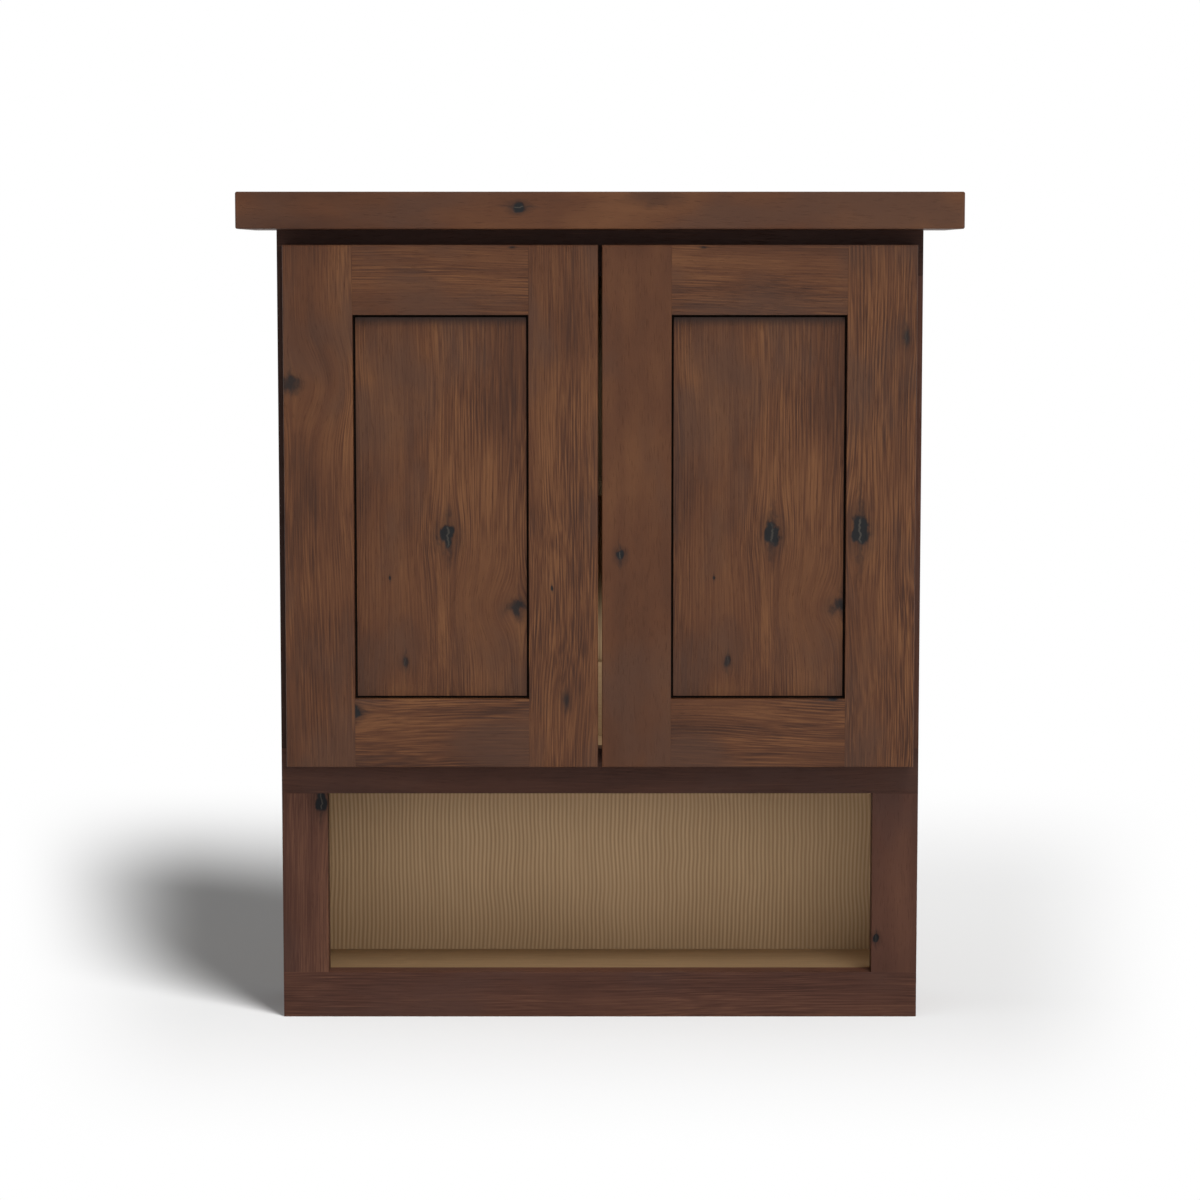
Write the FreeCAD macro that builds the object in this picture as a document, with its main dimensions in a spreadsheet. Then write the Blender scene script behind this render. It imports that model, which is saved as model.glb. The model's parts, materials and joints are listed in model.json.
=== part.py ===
import FreeCAD, Part
import math
import os
import types

import Sketcher

# Wall-hung bathroom cabinet with a face frame, two shaker doors and an open cubby.
# Millimetres, +Z up, the front faces -Y, the origin is under the middle of the base.

DIMENSIONS = {
    # Carcass and slab
    "cabinet_width": 533.4,
    "cabinet_height": 660.4,
    "cabinet_depth": 101.6,
    "slab_thickness": 30.0,
    "slab_side_lip": 28.575,
    "slab_front_lip": 28.575,
    "slab_edge_round": 1.5,
    # Face frame
    "frame_thickness": 19.05,
    "frame_stile_width": 38.1,
    "frame_rail_width": 38.1,
    "cubby_opening": 152.4,
    "frame_edge_round": 0.8,
    "frame_tenon_length": 12.0,
    "frame_tenon_thickness": 6.35,
    "frame_tenon_shoulder": 6.35,
    # Box behind the frame
    "side_thickness": 12.7,
    "deck_thickness": 12.7,
    "back_thickness": 6.35,
    "dado_depth": 6.35,
    "tongue_width": 7.5,
    "tongue_length": 4.5,
    "glue_gap": 0.1,
    "hanging_rail_height": 63.5,
    "hanging_rail_thickness": 19.05,
    "wall_hole_spacing": 406.4,
    "wall_hole_radius": 2.75,
    # Adjustable shelf
    "shelf_thickness": 12.7,
    "shelf_end_gap": 1.5,
    "shelf_front_gap": 4.0,
    "shelf_back_gap": 2.0,
    "pin_hole_radius": 2.6,
    "pin_hole_depth": 9.0,
    "pin_hole_pitch": 32.0,
    "pin_hole_rows": 5,
    "pin_hole_start": 144.0,
    "pin_hole_edge": 14.0,
    "shelf_row": 2,
    "shelf_pin_radius": 2.5,
    "shelf_pin_reach": 8.0,
    "shelf_pin_ledge": 11.0,
    "shelf_pin_ledge_width": 9.0,
    "shelf_pin_collar": 3.6,
    "shelf_pin_collar_length": 1.2,
    # Doors
    "door_thickness": 19.05,
    "door_stile_width": 57.15,
    "door_rail_width": 57.15,
    "door_side_overlay": 31.75,
    "door_top_reveal": 12.7,
    "door_rail_overlap": 12.7,
    "door_meeting_gap": 3.175,
    "door_standoff": 2.4,
    "door_edge_round": 1.2,
    "groove_width": 6.0,
    "groove_depth": 10.0,
    "panel_recess": 6.0,
    "panel_field_rise": 3.0,
    "panel_shadow_gap": 2.0,
    "panel_float": 2.0,
    "tenon_end_gap": 0.5,
    "bumper_radius": 4.0,
    "bumper_gap": 0.3,
    "bumper_chamfer": 1.0,
    "bumper_inset": 12.7,
    # Hinges
    "hinge_end_distance": 76.2,
    "cup_radius": 17.4,
    "cup_wall": 0.9,
    "cup_depth": 12.1,
    "cup_bore_gap": 0.3,
    "cup_edge_distance": 3.0,
    "flange_thickness": 1.0,
    "flange_half_height": 29.0,
    "flange_edge_distance": 2.0,
    "flange_inboard": 13.0,
    "flange_corner": 6.0,
    "cup_screw_offset": 6.0,
    "cup_screw_half_pitch": 24.0,
    "pivot_inset": 6.1,
    "pivot_depth": 8.5,
    "pin_radius": 1.25,
    "pin_gap": 0.05,
    "pin_half_length": 7.0,
    "knuckle_radius": 2.2,
    "knuckle_width": 8.0,
    "ear_gap": 0.6,
    "ear_inboard": 2.4,
    "arm_thickness": 1.5,
    "arm_bend_round": 1.2,
    "plate_height": 42.0,
    "plate_reach": 17.0,
    "plate_start": 1.0,
    "plate_corner": 3.0,
    "plate_screw_half_pitch": 14.0,
    "plate_screw_back": 9.5,
    # Screws
    "screw_gap": 0.1,
    "screw_head_top_share": 0.7,
    "pilot_spare_depth": 1.0,
    "slab_screw_head_radius": 4.5,
    "slab_screw_head_height": 2.6,
    "slab_screw_shank_radius": 2.1,
    "slab_screw_length": 31.75,
    "slab_screw_half_span": 190.0,
    "slab_screw_edge": 12.0,
    "hinge_screw_head_radius": 3.0,
    "hinge_screw_head_height": 0.9,
    "hinge_screw_shank_radius": 1.5,
    "hinge_screw_length": 12.7,
    "screw_tip_length": 3.0,
}

DOC = FreeCAD.newDocument("bathroom_cabinet")
SHEET = DOC.addObject("Spreadsheet::Sheet", "Dimensions")
for row, (alias, value) in enumerate(DIMENSIONS.items(), 1):
    SHEET.set(f"A{row}", alias)
    SHEET.set(f"B{row}", str(value))
    SHEET.setAlias(f"B{row}", alias)
DOC.recompute()


class Size:
    """A size written as an expression on the sheet of dimensions."""

    def __init__(self, text):
        self.text = str(text)

    def __str__(self):
        return self.text

    def __add__(self, other):
        return Size(f"({self} + {other})")

    def __radd__(self, other):
        return Size(f"({other} + {self})")

    def __sub__(self, other):
        return Size(f"({self} - {other})")

    def __rsub__(self, other):
        return Size(f"({other} - {self})")

    def __mul__(self, other):
        return Size(f"({self} * {other})")

    def __rmul__(self, other):
        return Size(f"({other} * {self})")

    def __truediv__(self, other):
        return Size(f"({self} / {other})")

    def __neg__(self):
        return Size(f"(0 - {self})")


dim = types.SimpleNamespace(**{alias: Size(f"Dimensions.{alias}") for alias in DIMENSIONS})
ZERO = Size("0")
Vector = FreeCAD.Vector
ACROSS, FRONT_TO_BACK, UP = Vector(1, 0, 0), Vector(0, 1, 0), Vector(0, 0, 1)
SKETCH_ORIGIN, ACROSS_AXIS, UP_AXIS = -1, -1, -2
NEAR = 1e-6
FULL_TURN = 360

# Levels across the cabinet
half_width = dim.cabinet_width / 2
inside_half_width = half_width - dim.side_thickness
stile_inner_edge = half_width - dim.frame_stile_width
door_edge = stile_inner_edge + dim.door_side_overlay
door_width = door_edge - dim.door_meeting_gap / 2

# Levels from front to back
slab_depth = dim.cabinet_depth + dim.door_standoff + dim.door_thickness + dim.slab_front_lip
wall_plane = slab_depth / 2
frame_front = wall_plane - dim.cabinet_depth
frame_back = frame_front + dim.frame_thickness
back_front = wall_plane - dim.back_thickness
door_back = frame_front - dim.door_standoff
door_front = door_back - dim.door_thickness

# Levels from the base up
cubby_bottom = dim.frame_rail_width
cubby_top = cubby_bottom + dim.cubby_opening
door_opening_bottom = cubby_top + dim.frame_rail_width
door_opening_top = dim.cabinet_height - dim.frame_rail_width
deck_top_underside = dim.cabinet_height - dim.deck_thickness
door_bottom = door_opening_bottom - dim.door_rail_overlap
door_top = dim.cabinet_height - dim.door_top_reveal
door_height = door_top - door_bottom
hinge_levels = {"lower": door_bottom + dim.hinge_end_distance, "upper": door_top - dim.hinge_end_distance}
pin_hole_base = door_opening_bottom + dim.pin_hole_start
shelf_bottom = pin_hole_base + dim.shelf_row * dim.pin_hole_pitch + dim.shelf_pin_radius
pin_columns = (frame_back + dim.pin_hole_edge, back_front - dim.pin_hole_edge)

# Hinge lines of the left door
pivot_x = -door_edge + dim.pivot_inset
pivot_y = door_back - dim.pivot_depth
cup_bore_radius = dim.cup_radius + dim.cup_bore_gap
cup_inset = dim.cup_edge_distance + cup_bore_radius
cup_x = -door_edge + cup_inset
pivot_from_cup = cup_inset - dim.pivot_inset

# Panel grooves of the doors, measured from the door front
groove_front = dim.panel_recess + dim.panel_field_rise
groove_back = groove_front + dim.groove_width
rail_span = door_width - 2 * dim.door_stile_width


def number(size):
    """Value of a size in millimetres."""
    return float(SHEET.evalExpression(str(size)))


def place(piece, x, y, z):
    """Bind the place of a piece."""
    for axis, size in zip("xyz", (x, y, z)):
        piece.setExpression(f"Placement.Base.{axis}", str(size))


def new_body(label, x, y, z, turn=FreeCAD.Rotation()):
    """Empty body with its own origin at x, y, z."""
    body = DOC.addObject("PartDesign::Body", label)
    body.Label = label
    body.Placement = FreeCAD.Placement(Vector(), turn)
    place(body, x, y, z)
    return body


def origin_feature(body, role):
    """Plane or axis of a body's own origin."""
    return next(feature for feature in body.Origin.OriginFeatures if feature.Role == role)


def new_sketch(body, plane, level):
    """Empty sketch on XY, XZ or YZ of the body, at a level along the third axis."""
    sketch = body.newObject("Sketcher::SketchObject", f"{body.Name}_sketch")
    sketch.AttachmentSupport = (origin_feature(body, f"{plane}_Plane"), [""])
    sketch.MapMode = "FlatFace"
    along_normal = -level if plane == "XZ" else level
    sketch.setExpression("AttachmentOffset.Base.z", str(along_normal))
    return sketch


def bind_coordinate(sketch, geometry, vertex, kind, axis, size):
    """Hold one coordinate of a sketch point at a size."""
    value = number(size)
    if abs(value) < NEAR:
        sketch.addConstraint(Sketcher.Constraint("PointOnObject", geometry, vertex, axis))
        return
    if value > 0:
        held = Sketcher.Constraint(kind, SKETCH_ORIGIN, 1, geometry, vertex, value)
    else:
        held = Sketcher.Constraint(kind, geometry, vertex, SKETCH_ORIGIN, 1, -value)
        size = -size
    index = sketch.addConstraint(held)
    sketch.setExpression(f"Constraints[{index}]", str(size))


def bind_point(sketch, geometry, vertex, point):
    """Hold a sketch point at a pair of sizes."""
    bind_coordinate(sketch, geometry, vertex, "DistanceX", UP_AXIS, point[0])
    bind_coordinate(sketch, geometry, vertex, "DistanceY", ACROSS_AXIS, point[1])


def bind_radius(sketch, geometry, radius):
    """Hold the radius of a sketch circle or arc."""
    index = sketch.addConstraint(Sketcher.Constraint("Radius", geometry, number(radius)))
    sketch.setExpression(f"Constraints[{index}]", str(radius))


def outline(body, plane, points, level=ZERO):
    """Sketch of a closed outline with straight sides."""
    sketch = new_sketch(body, plane, level)
    corners = [Vector(number(across), number(up), 0) for across, up in points]
    for start, end in zip(corners, corners[1:] + corners[:1]):
        sketch.addGeometry(Part.LineSegment(start, end))
    for index, point in enumerate(points):
        following = (index + 1) % len(points)
        sketch.addConstraint(Sketcher.Constraint("Coincident", index, 2, following, 1))
        bind_point(sketch, index, 1, point)
    return sketch


def rectangle(body, plane, low, high, level=ZERO):
    """Sketch of a rectangle between two corners."""
    corners = [low, (high[0], low[1]), high, (low[0], high[1])]
    return outline(body, plane, corners, level)


def circles(body, plane, centres, radius, level=ZERO):
    """Sketch of equal circles."""
    sketch = new_sketch(body, plane, level)
    for index, centre in enumerate(centres):
        middle = Vector(number(centre[0]), number(centre[1]), 0)
        sketch.addGeometry(Part.Circle(middle, UP, number(radius)))
        bind_point(sketch, index, 3, centre)
        bind_radius(sketch, index, radius)
    return sketch


def pad(body, sketch, length, backwards=False):
    """Extrude a sketch along its normal, or against it."""
    feature = body.newObject("PartDesign::Pad", f"{body.Name}_pad")
    feature.Profile = sketch
    feature.Reversed = backwards
    feature.setExpression("Length", str(length))
    return feature


def pocket(body, sketch, depth, along_normal=False):
    """Cut a sketch against its normal, or along it, and make sure that it cuts."""
    DOC.recompute()
    before = body.Shape.Volume
    feature = body.newObject("PartDesign::Pocket", f"{body.Name}_pocket")
    feature.Profile = sketch
    feature.Reversed = along_normal
    feature.setExpression("Length", str(depth))
    DOC.recompute()
    if body.Shape.Volume > before - NEAR:
        raise RuntimeError(f"{feature.Name} cuts nothing from {body.Label}")
    return feature


def revolve(body, sketch):
    """Turn a sketch about its upright axis."""
    feature = body.newObject("PartDesign::Revolution", f"{body.Name}_turned")
    feature.Profile = sketch
    feature.ReferenceAxis = (sketch, ["V_Axis"])
    feature.Angle = FULL_TURN
    return feature


def round_edges(body, radius, picked):
    """Round the edges whose middle point is picked."""
    DOC.recompute()
    base = body.Tip
    names = [
        f"Edge{index}"
        for index, edge in enumerate(base.Shape.Edges, 1)
        if picked(edge.valueAt((edge.FirstParameter + edge.LastParameter) / 2), edge)
    ]
    feature = body.newObject("PartDesign::Fillet", f"{body.Name}_round")
    feature.Base = (base, names)
    feature.setExpression("Radius", str(radius))


def runs_along(edge, direction):
    """Whether a straight edge runs along a direction."""
    chord = edge.Vertexes[-1].Point - edge.Vertexes[0].Point
    return chord.Length > NEAR and chord.cross(direction).Length < NEAR * chord.Length


def mirrored(source, label):
    """Twin of a piece on the other side of the cabinet."""
    twin = DOC.addObject("Part::Mirroring", label)
    twin.Label = label
    twin.Source = source
    twin.Normal = ACROSS
    return twin


def copy_at(source, x, y, z):
    """Copy of a piece at another place."""
    twin = DOC.addObject("App::Link", f"{source.Name}_copy")
    twin.LinkedObject = source
    twin.Placement = source.Placement
    place(twin, x, y, z)
    return twin


def group(label, members):
    """One node of separate solids."""
    together = DOC.addObject("Part::Compound", label)
    together.Label = label
    together.Links = members
    return together


def board(label, low, high):
    """Plain board between two corners."""
    body = new_body(label, *low)
    width, depth, height = (top - bottom for bottom, top in zip(low, high))
    pad(body, rectangle(body, "XY", (ZERO, ZERO), (width, depth)), height)
    return body


def screw(label, head_radius, head_height, shank_radius, length, place_at, turn):
    """Pan-head wood screw: head at its origin, shank along its own +Z."""
    body = new_body(label, *place_at, turn)
    profile = [
        (ZERO, -head_height),
        (head_radius * dim.screw_head_top_share, -head_height),
        (head_radius, ZERO),
        (shank_radius, ZERO),
        (shank_radius, length - dim.screw_tip_length),
        (ZERO, length),
    ]
    revolve(body, outline(body, "XZ", profile))
    return body


# Turned pieces point from their own +Z to these directions
POINTS_UP = FreeCAD.Rotation()
POINTS_LEFT = FreeCAD.Rotation(FRONT_TO_BACK, -90)
POINTS_FORWARD = FreeCAD.Rotation(ACROSS, 90)
POINTS_BACK = FreeCAD.Rotation(ACROSS, -90)


def make_slab():
    """Top slab with eased edges and blind pilot holes in its underside."""
    slab_half = half_width + dim.slab_side_lip
    low = (-slab_half, -wall_plane, dim.cabinet_height)
    slab = board("top_slab", low, (slab_half, wall_plane, dim.cabinet_height + dim.slab_thickness))
    back = number(slab_depth)
    round_edges(slab, dim.slab_edge_round, lambda point, edge: point.y < back - NEAR)
    reach = dim.slab_screw_length - dim.deck_thickness + dim.pilot_spare_depth
    centres = [(x + slab_half, y + wall_plane) for x, y in slab_screw_places()]
    sketch = circles(slab, "XY", centres, dim.slab_screw_shank_radius + dim.screw_gap)
    pocket(slab, sketch, reach, along_normal=True)
    return slab


def slab_screw_places():
    """Plan positions of the screws that hold the slab."""
    rear_row = back_front - dim.hanging_rail_thickness - dim.slab_screw_edge
    rows = (frame_back + dim.slab_screw_edge, rear_row)
    return [(side * dim.slab_screw_half_span, row) for side in (-1, 1) for row in rows]


def make_slab_screws():
    """Screws up through the carcass top into the slab."""
    places = [(x, y, deck_top_underside) for x, y in slab_screw_places()]
    first = screw(
        "slab_screw",
        dim.slab_screw_head_radius,
        dim.slab_screw_head_height,
        dim.slab_screw_shank_radius,
        dim.slab_screw_length,
        places[0],
        POINTS_UP,
    )
    return group("slab_screws", [first] + [copy_at(first, *spot) for spot in places[1:]])


def make_side_panel():
    """Left side panel: tongue to the frame, dados for the decks, rabbet for the back, shelf-pin holes."""
    low = (-half_width, frame_back - dim.tongue_length, ZERO)
    side = new_body("left_side_panel", *low)
    thickness = dim.side_thickness
    depth = wall_plane - low[1]
    rabbet_front = depth - dim.back_thickness - dim.glue_gap
    tongue_outer = thickness - dim.tongue_width
    section = [
        (tongue_outer, ZERO),
        (thickness, ZERO),
        (thickness, rabbet_front),
        (thickness - dim.dado_depth, rabbet_front),
        (thickness - dim.dado_depth, depth),
        (ZERO, depth),
        (ZERO, dim.tongue_length),
        (tongue_outer, dim.tongue_length),
    ]
    pad(side, outline(side, "XY", section), dim.cabinet_height)
    for deck_top in (cubby_bottom, door_opening_bottom, dim.cabinet_height):
        dado_low = (dim.tongue_length, deck_top - dim.deck_thickness - dim.glue_gap)
        dado_high = (depth, deck_top + dim.glue_gap)
        pocket(side, rectangle(side, "YZ", dado_low, dado_high, thickness), dim.dado_depth)
    centres = [(column - low[1], pin_hole_base) for column in pin_columns]
    holes = pocket(side, circles(side, "YZ", centres, dim.pin_hole_radius, thickness), dim.pin_hole_depth)
    rows = side.newObject("PartDesign::LinearPattern", "pin_hole_rows")
    rows.Originals = [holes]
    rows.Direction = (origin_feature(side, "Z_Axis"), [""])
    rows.setExpression("Length", str((dim.pin_hole_rows - 1) * dim.pin_hole_pitch))
    rows.setExpression("Occurrences", str(dim.pin_hole_rows))
    side.Tip = rows
    return side


def make_deck(label, top):
    """Level deck let into the dados of both side panels."""
    half_length = inside_half_width + dim.dado_depth - dim.glue_gap
    low = (-half_length, frame_back, top - dim.deck_thickness)
    return board(label, low, (half_length, back_front, top))


def make_carcass_top():
    """Top deck with clearance holes for the slab screws."""
    deck = make_deck("carcass_top", dim.cabinet_height)
    half_length = inside_half_width + dim.dado_depth - dim.glue_gap
    centres = [(x + half_length, y - frame_back) for x, y in slab_screw_places()]
    sketch = circles(deck, "XY", centres, dim.slab_screw_shank_radius + dim.screw_gap)
    pocket(deck, sketch, dim.deck_thickness, along_normal=True)
    return deck


def hanging_rail_bottoms():
    """Levels of the two hanging rails: on the divider and under the carcass top."""
    return {
        "lower_hanging_rail": door_opening_bottom,
        "upper_hanging_rail": deck_top_underside - dim.hanging_rail_height,
    }


def make_hanging_rail(label, bottom):
    """Rail between the sides that takes two wall screws."""
    half_length = inside_half_width - dim.glue_gap
    front = back_front - dim.hanging_rail_thickness
    high = (half_length, back_front, bottom + dim.hanging_rail_height)
    rail = board(label, (-half_length, front, bottom), high)
    middle = dim.hanging_rail_height / 2
    centres = [(half_length + side * dim.wall_hole_spacing / 2, middle) for side in (-1, 1)]
    pocket(rail, circles(rail, "XZ", centres, dim.wall_hole_radius), dim.hanging_rail_thickness)
    return rail


def make_back_panel():
    """Thin back in the side panels' rabbets, with the wall-screw holes."""
    half_length = inside_half_width + dim.dado_depth - dim.glue_gap
    high = (half_length, wall_plane, dim.cabinet_height)
    back = board("back_panel", (-half_length, back_front, ZERO), high)
    centres = [
        (half_length + side * dim.wall_hole_spacing / 2, bottom + dim.hanging_rail_height / 2)
        for bottom in hanging_rail_bottoms().values()
        for side in (-1, 1)
    ]
    pocket(back, circles(back, "XZ", centres, dim.wall_hole_radius), dim.back_thickness)
    return back


def frame_tenon(clearance):
    """Plan corners of a stile's stub tenon, from the frame's outer edge and front, ahead of the groove."""
    deep = (dim.frame_thickness - dim.tongue_length) / 2
    half = dim.frame_tenon_thickness / 2 + clearance
    low = (dim.frame_tenon_shoulder - clearance, deep - half)
    high = (dim.frame_stile_width - dim.frame_tenon_shoulder + clearance, deep + half)
    return low, high


def tongue_groove(from_edge):
    """Corners in plan of the groove for a side panel's tongue, from the frame's outer edge and front."""
    inner = dim.side_thickness + dim.glue_gap
    outer = dim.side_thickness - dim.tongue_width - dim.glue_gap
    front = dim.frame_thickness - dim.tongue_length - dim.glue_gap
    return (from_edge(outer), front), (from_edge(inner), dim.frame_thickness)


def make_frame_rail(label, bottom, stiles_below, stiles_above):
    """Face-frame rail that runs the full width, mortised for the stiles and grooved for the sides."""
    low = (-half_width, frame_front, bottom)
    rail = board(label, low, (half_width, frame_back, bottom + dim.frame_rail_width))
    width = number(dim.cabinet_width)

    def is_front_end(point, edge):
        return point.y < NEAR and (point.x < NEAR or point.x > width - NEAR)

    round_edges(rail, dim.frame_edge_round, is_front_end)
    left = rectangle(rail, "XY", *tongue_groove(lambda across: across))
    pocket(rail, left, dim.frame_rail_width, along_normal=True)
    right = rectangle(rail, "XY", *tongue_groove(lambda across: dim.cabinet_width - across))
    pocket(rail, right, dim.frame_rail_width, along_normal=True)
    low, high = frame_tenon(dim.glue_gap)
    mortises = [(low, high), ((dim.cabinet_width - high[0], low[1]), (dim.cabinet_width - low[0], high[1]))]
    depth = dim.frame_tenon_length + dim.glue_gap
    for corners in mortises:
        if stiles_below:
            pocket(rail, rectangle(rail, "XY", *corners), depth, along_normal=True)
        if stiles_above:
            pocket(rail, rectangle(rail, "XY", *corners, dim.frame_rail_width), depth)
    return rail


def make_frame_stile(label, bottom, top, with_hinges):
    """Left face-frame stile between two rails, with a stub tenon at each end and a groove for the side."""
    stile = new_body(label, -half_width, frame_front, bottom)
    (groove_outer, groove_bottom), (groove_inner, back) = tongue_groove(lambda across: across)
    section = [
        (ZERO, ZERO),
        (dim.frame_stile_width, ZERO),
        (dim.frame_stile_width, back),
        (groove_inner, back),
        (groove_inner, groove_bottom),
        (groove_outer, groove_bottom),
        (groove_outer, back),
        (ZERO, back),
    ]
    height = top - bottom
    pad(stile, outline(stile, "XY", section), height)
    round_edges(
        stile,
        dim.frame_edge_round,
        lambda point, edge: point.y < NEAR and point.x < NEAR,
    )
    tenons = rectangle(stile, "XY", *frame_tenon(ZERO), -dim.frame_tenon_length)
    pad(stile, tenons, height + 2 * dim.frame_tenon_length)
    if with_hinges:
        pilots = [
            (dim.plate_screw_back, level - bottom + side * dim.plate_screw_half_pitch)
            for level in hinge_levels.values()
            for side in (-1, 1)
        ]
        radius = dim.hinge_screw_shank_radius + dim.screw_gap
        sketch = circles(stile, "YZ", pilots, radius, dim.frame_stile_width)
        pocket(stile, sketch, dim.hinge_screw_length - dim.arm_thickness + dim.pilot_spare_depth)
    return stile


def make_shelf():
    """Adjustable shelf that lies on the four pins."""
    half_length = inside_half_width - dim.shelf_end_gap
    low = (-half_length, frame_back + dim.shelf_front_gap, shelf_bottom)
    return board(
        "adjustable_shelf",
        low,
        (half_length, back_front - dim.shelf_back_gap, shelf_bottom + dim.shelf_thickness),
    )


def make_shelf_pins():
    """Four metal pins with a collar and a flat ledge under the shelf."""
    level = shelf_bottom - dim.shelf_pin_radius
    pin = new_body("shelf_pin", -inside_half_width, pin_columns[0], level)
    shank = circles(pin, "YZ", [(ZERO, ZERO)], dim.shelf_pin_radius, -dim.shelf_pin_reach)
    pad(pin, shank, dim.shelf_pin_reach)
    collar = rectangle(
        pin,
        "YZ",
        (-dim.shelf_pin_ledge_width / 2, -dim.shelf_pin_collar),
        (dim.shelf_pin_ledge_width / 2, dim.shelf_pin_radius),
    )
    pad(pin, collar, dim.shelf_pin_collar_length)
    ledge = rectangle(
        pin,
        "YZ",
        (-dim.shelf_pin_ledge_width / 2, ZERO),
        (dim.shelf_pin_ledge_width / 2, dim.shelf_pin_radius),
    )
    pad(pin, ledge, dim.shelf_pin_ledge)
    rear = copy_at(pin, -inside_half_width, pin_columns[1], level)
    left_pins = group("left_shelf_pins", [pin, rear])
    return group("shelf_pins", [left_pins, mirrored(left_pins, "right_shelf_pins")])


def make_hinge_arm(label, level):
    """Hinge arm: knuckle on the pivot pin, strap out of the cup, plate on the stile's inner edge."""
    arm = new_body(label, pivot_x, pivot_y, level)
    strap_outer = -stile_inner_edge - pivot_x
    strap_inner = strap_outer + dim.arm_thickness
    frame_from_pivot = frame_front - pivot_y
    strap_end = frame_from_pivot + dim.plate_reach
    half_knuckle = dim.knuckle_width / 2
    strap = [
        (ZERO, -dim.knuckle_radius),
        (strap_inner, -dim.knuckle_radius),
        (strap_inner, strap_end),
        (strap_outer, strap_end),
        (strap_outer, dim.arm_thickness - dim.knuckle_radius),
        (ZERO, dim.arm_thickness - dim.knuckle_radius),
    ]
    pad(arm, outline(arm, "XY", strap, -half_knuckle), dim.knuckle_width)
    heel = number(strap_inner)
    low = -number(dim.knuckle_radius)
    round_edges(
        arm,
        dim.arm_bend_round,
        lambda point, edge: abs(point.x - heel) < NEAR and abs(point.y - low) < NEAR,
    )
    knuckle = circles(arm, "XY", [(ZERO, ZERO)], dim.knuckle_radius, -half_knuckle)
    pad(arm, knuckle, dim.knuckle_width)
    half_plate = dim.plate_height / 2
    plate_front = frame_from_pivot + dim.plate_start
    plate = rectangle(arm, "YZ", (plate_front, -half_plate), (strap_end, half_plate), strap_outer)
    pad(arm, plate, dim.arm_thickness)
    corner_levels = number(half_plate)
    round_edges(
        arm,
        dim.plate_corner,
        lambda point, edge: runs_along(edge, ACROSS) and abs(abs(point.z) - corner_levels) < NEAR,
    )
    bore = circles(arm, "XY", [(ZERO, ZERO)], dim.pin_radius + dim.pin_gap, half_knuckle)
    pocket(arm, bore, dim.knuckle_width)
    screw_line = frame_from_pivot + dim.plate_screw_back
    centres = [(screw_line, side * dim.plate_screw_half_pitch) for side in (-1, 1)]
    holes = circles(arm, "YZ", centres, dim.hinge_screw_shank_radius + dim.screw_gap, strap_inner)
    pocket(arm, holes, dim.arm_thickness)
    return arm


def make_arm_screws():
    """Screws through the hinge plates into the stiles."""
    head_plane = -stile_inner_edge + dim.arm_thickness
    places = [
        (head_plane, frame_front + dim.plate_screw_back, level + side * dim.plate_screw_half_pitch)
        for level in hinge_levels.values()
        for side in (-1, 1)
    ]
    first = hinge_screw("arm_screw", places[0], POINTS_LEFT)
    left = group("left_arm_screws", [first] + [copy_at(first, *spot) for spot in places[1:]])
    return group("hinge_arm_screws", [left, mirrored(left, "right_arm_screws")])


def hinge_screw(label, place_at, turn):
    """Low-head screw of the hinges."""
    return screw(
        label,
        dim.hinge_screw_head_radius,
        dim.hinge_screw_head_height,
        dim.hinge_screw_shank_radius,
        dim.hinge_screw_length,
        place_at,
        turn,
    )


def make_hinge_cup(label, level):
    """Pressed hinge cup: round cup, screw flange, slot for the arm and ears that hold the pivot pin."""
    cup = new_body(label, cup_x, door_back, level)
    pad(cup, circles(cup, "XZ", [(ZERO, ZERO)], dim.cup_radius), dim.cup_depth)
    flange_outer = dim.flange_edge_distance - cup_inset
    flange = rectangle(
        cup,
        "XZ",
        (flange_outer, -dim.flange_half_height),
        (dim.flange_inboard, dim.flange_half_height),
    )
    pad(cup, flange, dim.flange_thickness, backwards=True)
    tip = number(dim.flange_half_height)
    round_edges(
        cup,
        dim.flange_corner,
        lambda point, edge: runs_along(edge, FRONT_TO_BACK) and abs(abs(point.z) - tip) < NEAR,
    )
    cavity_depth = dim.cup_depth - dim.cup_wall + dim.flange_thickness
    pocket(cup, cup_cavity(cup, flange_outer), cavity_depth, along_normal=True)
    pivot = (-pivot_from_cup, -dim.pivot_depth)
    bore = circles(cup, "XY", [pivot], dim.pin_radius + dim.pin_gap, dim.pin_half_length)
    pocket(cup, bore, 2 * dim.pin_half_length)
    centres = [(dim.cup_screw_offset, side * dim.cup_screw_half_pitch) for side in (-1, 1)]
    holes = circles(cup, "XZ", centres, dim.hinge_screw_shank_radius + dim.screw_gap)
    pocket(cup, holes, dim.flange_thickness)
    return cup


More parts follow.
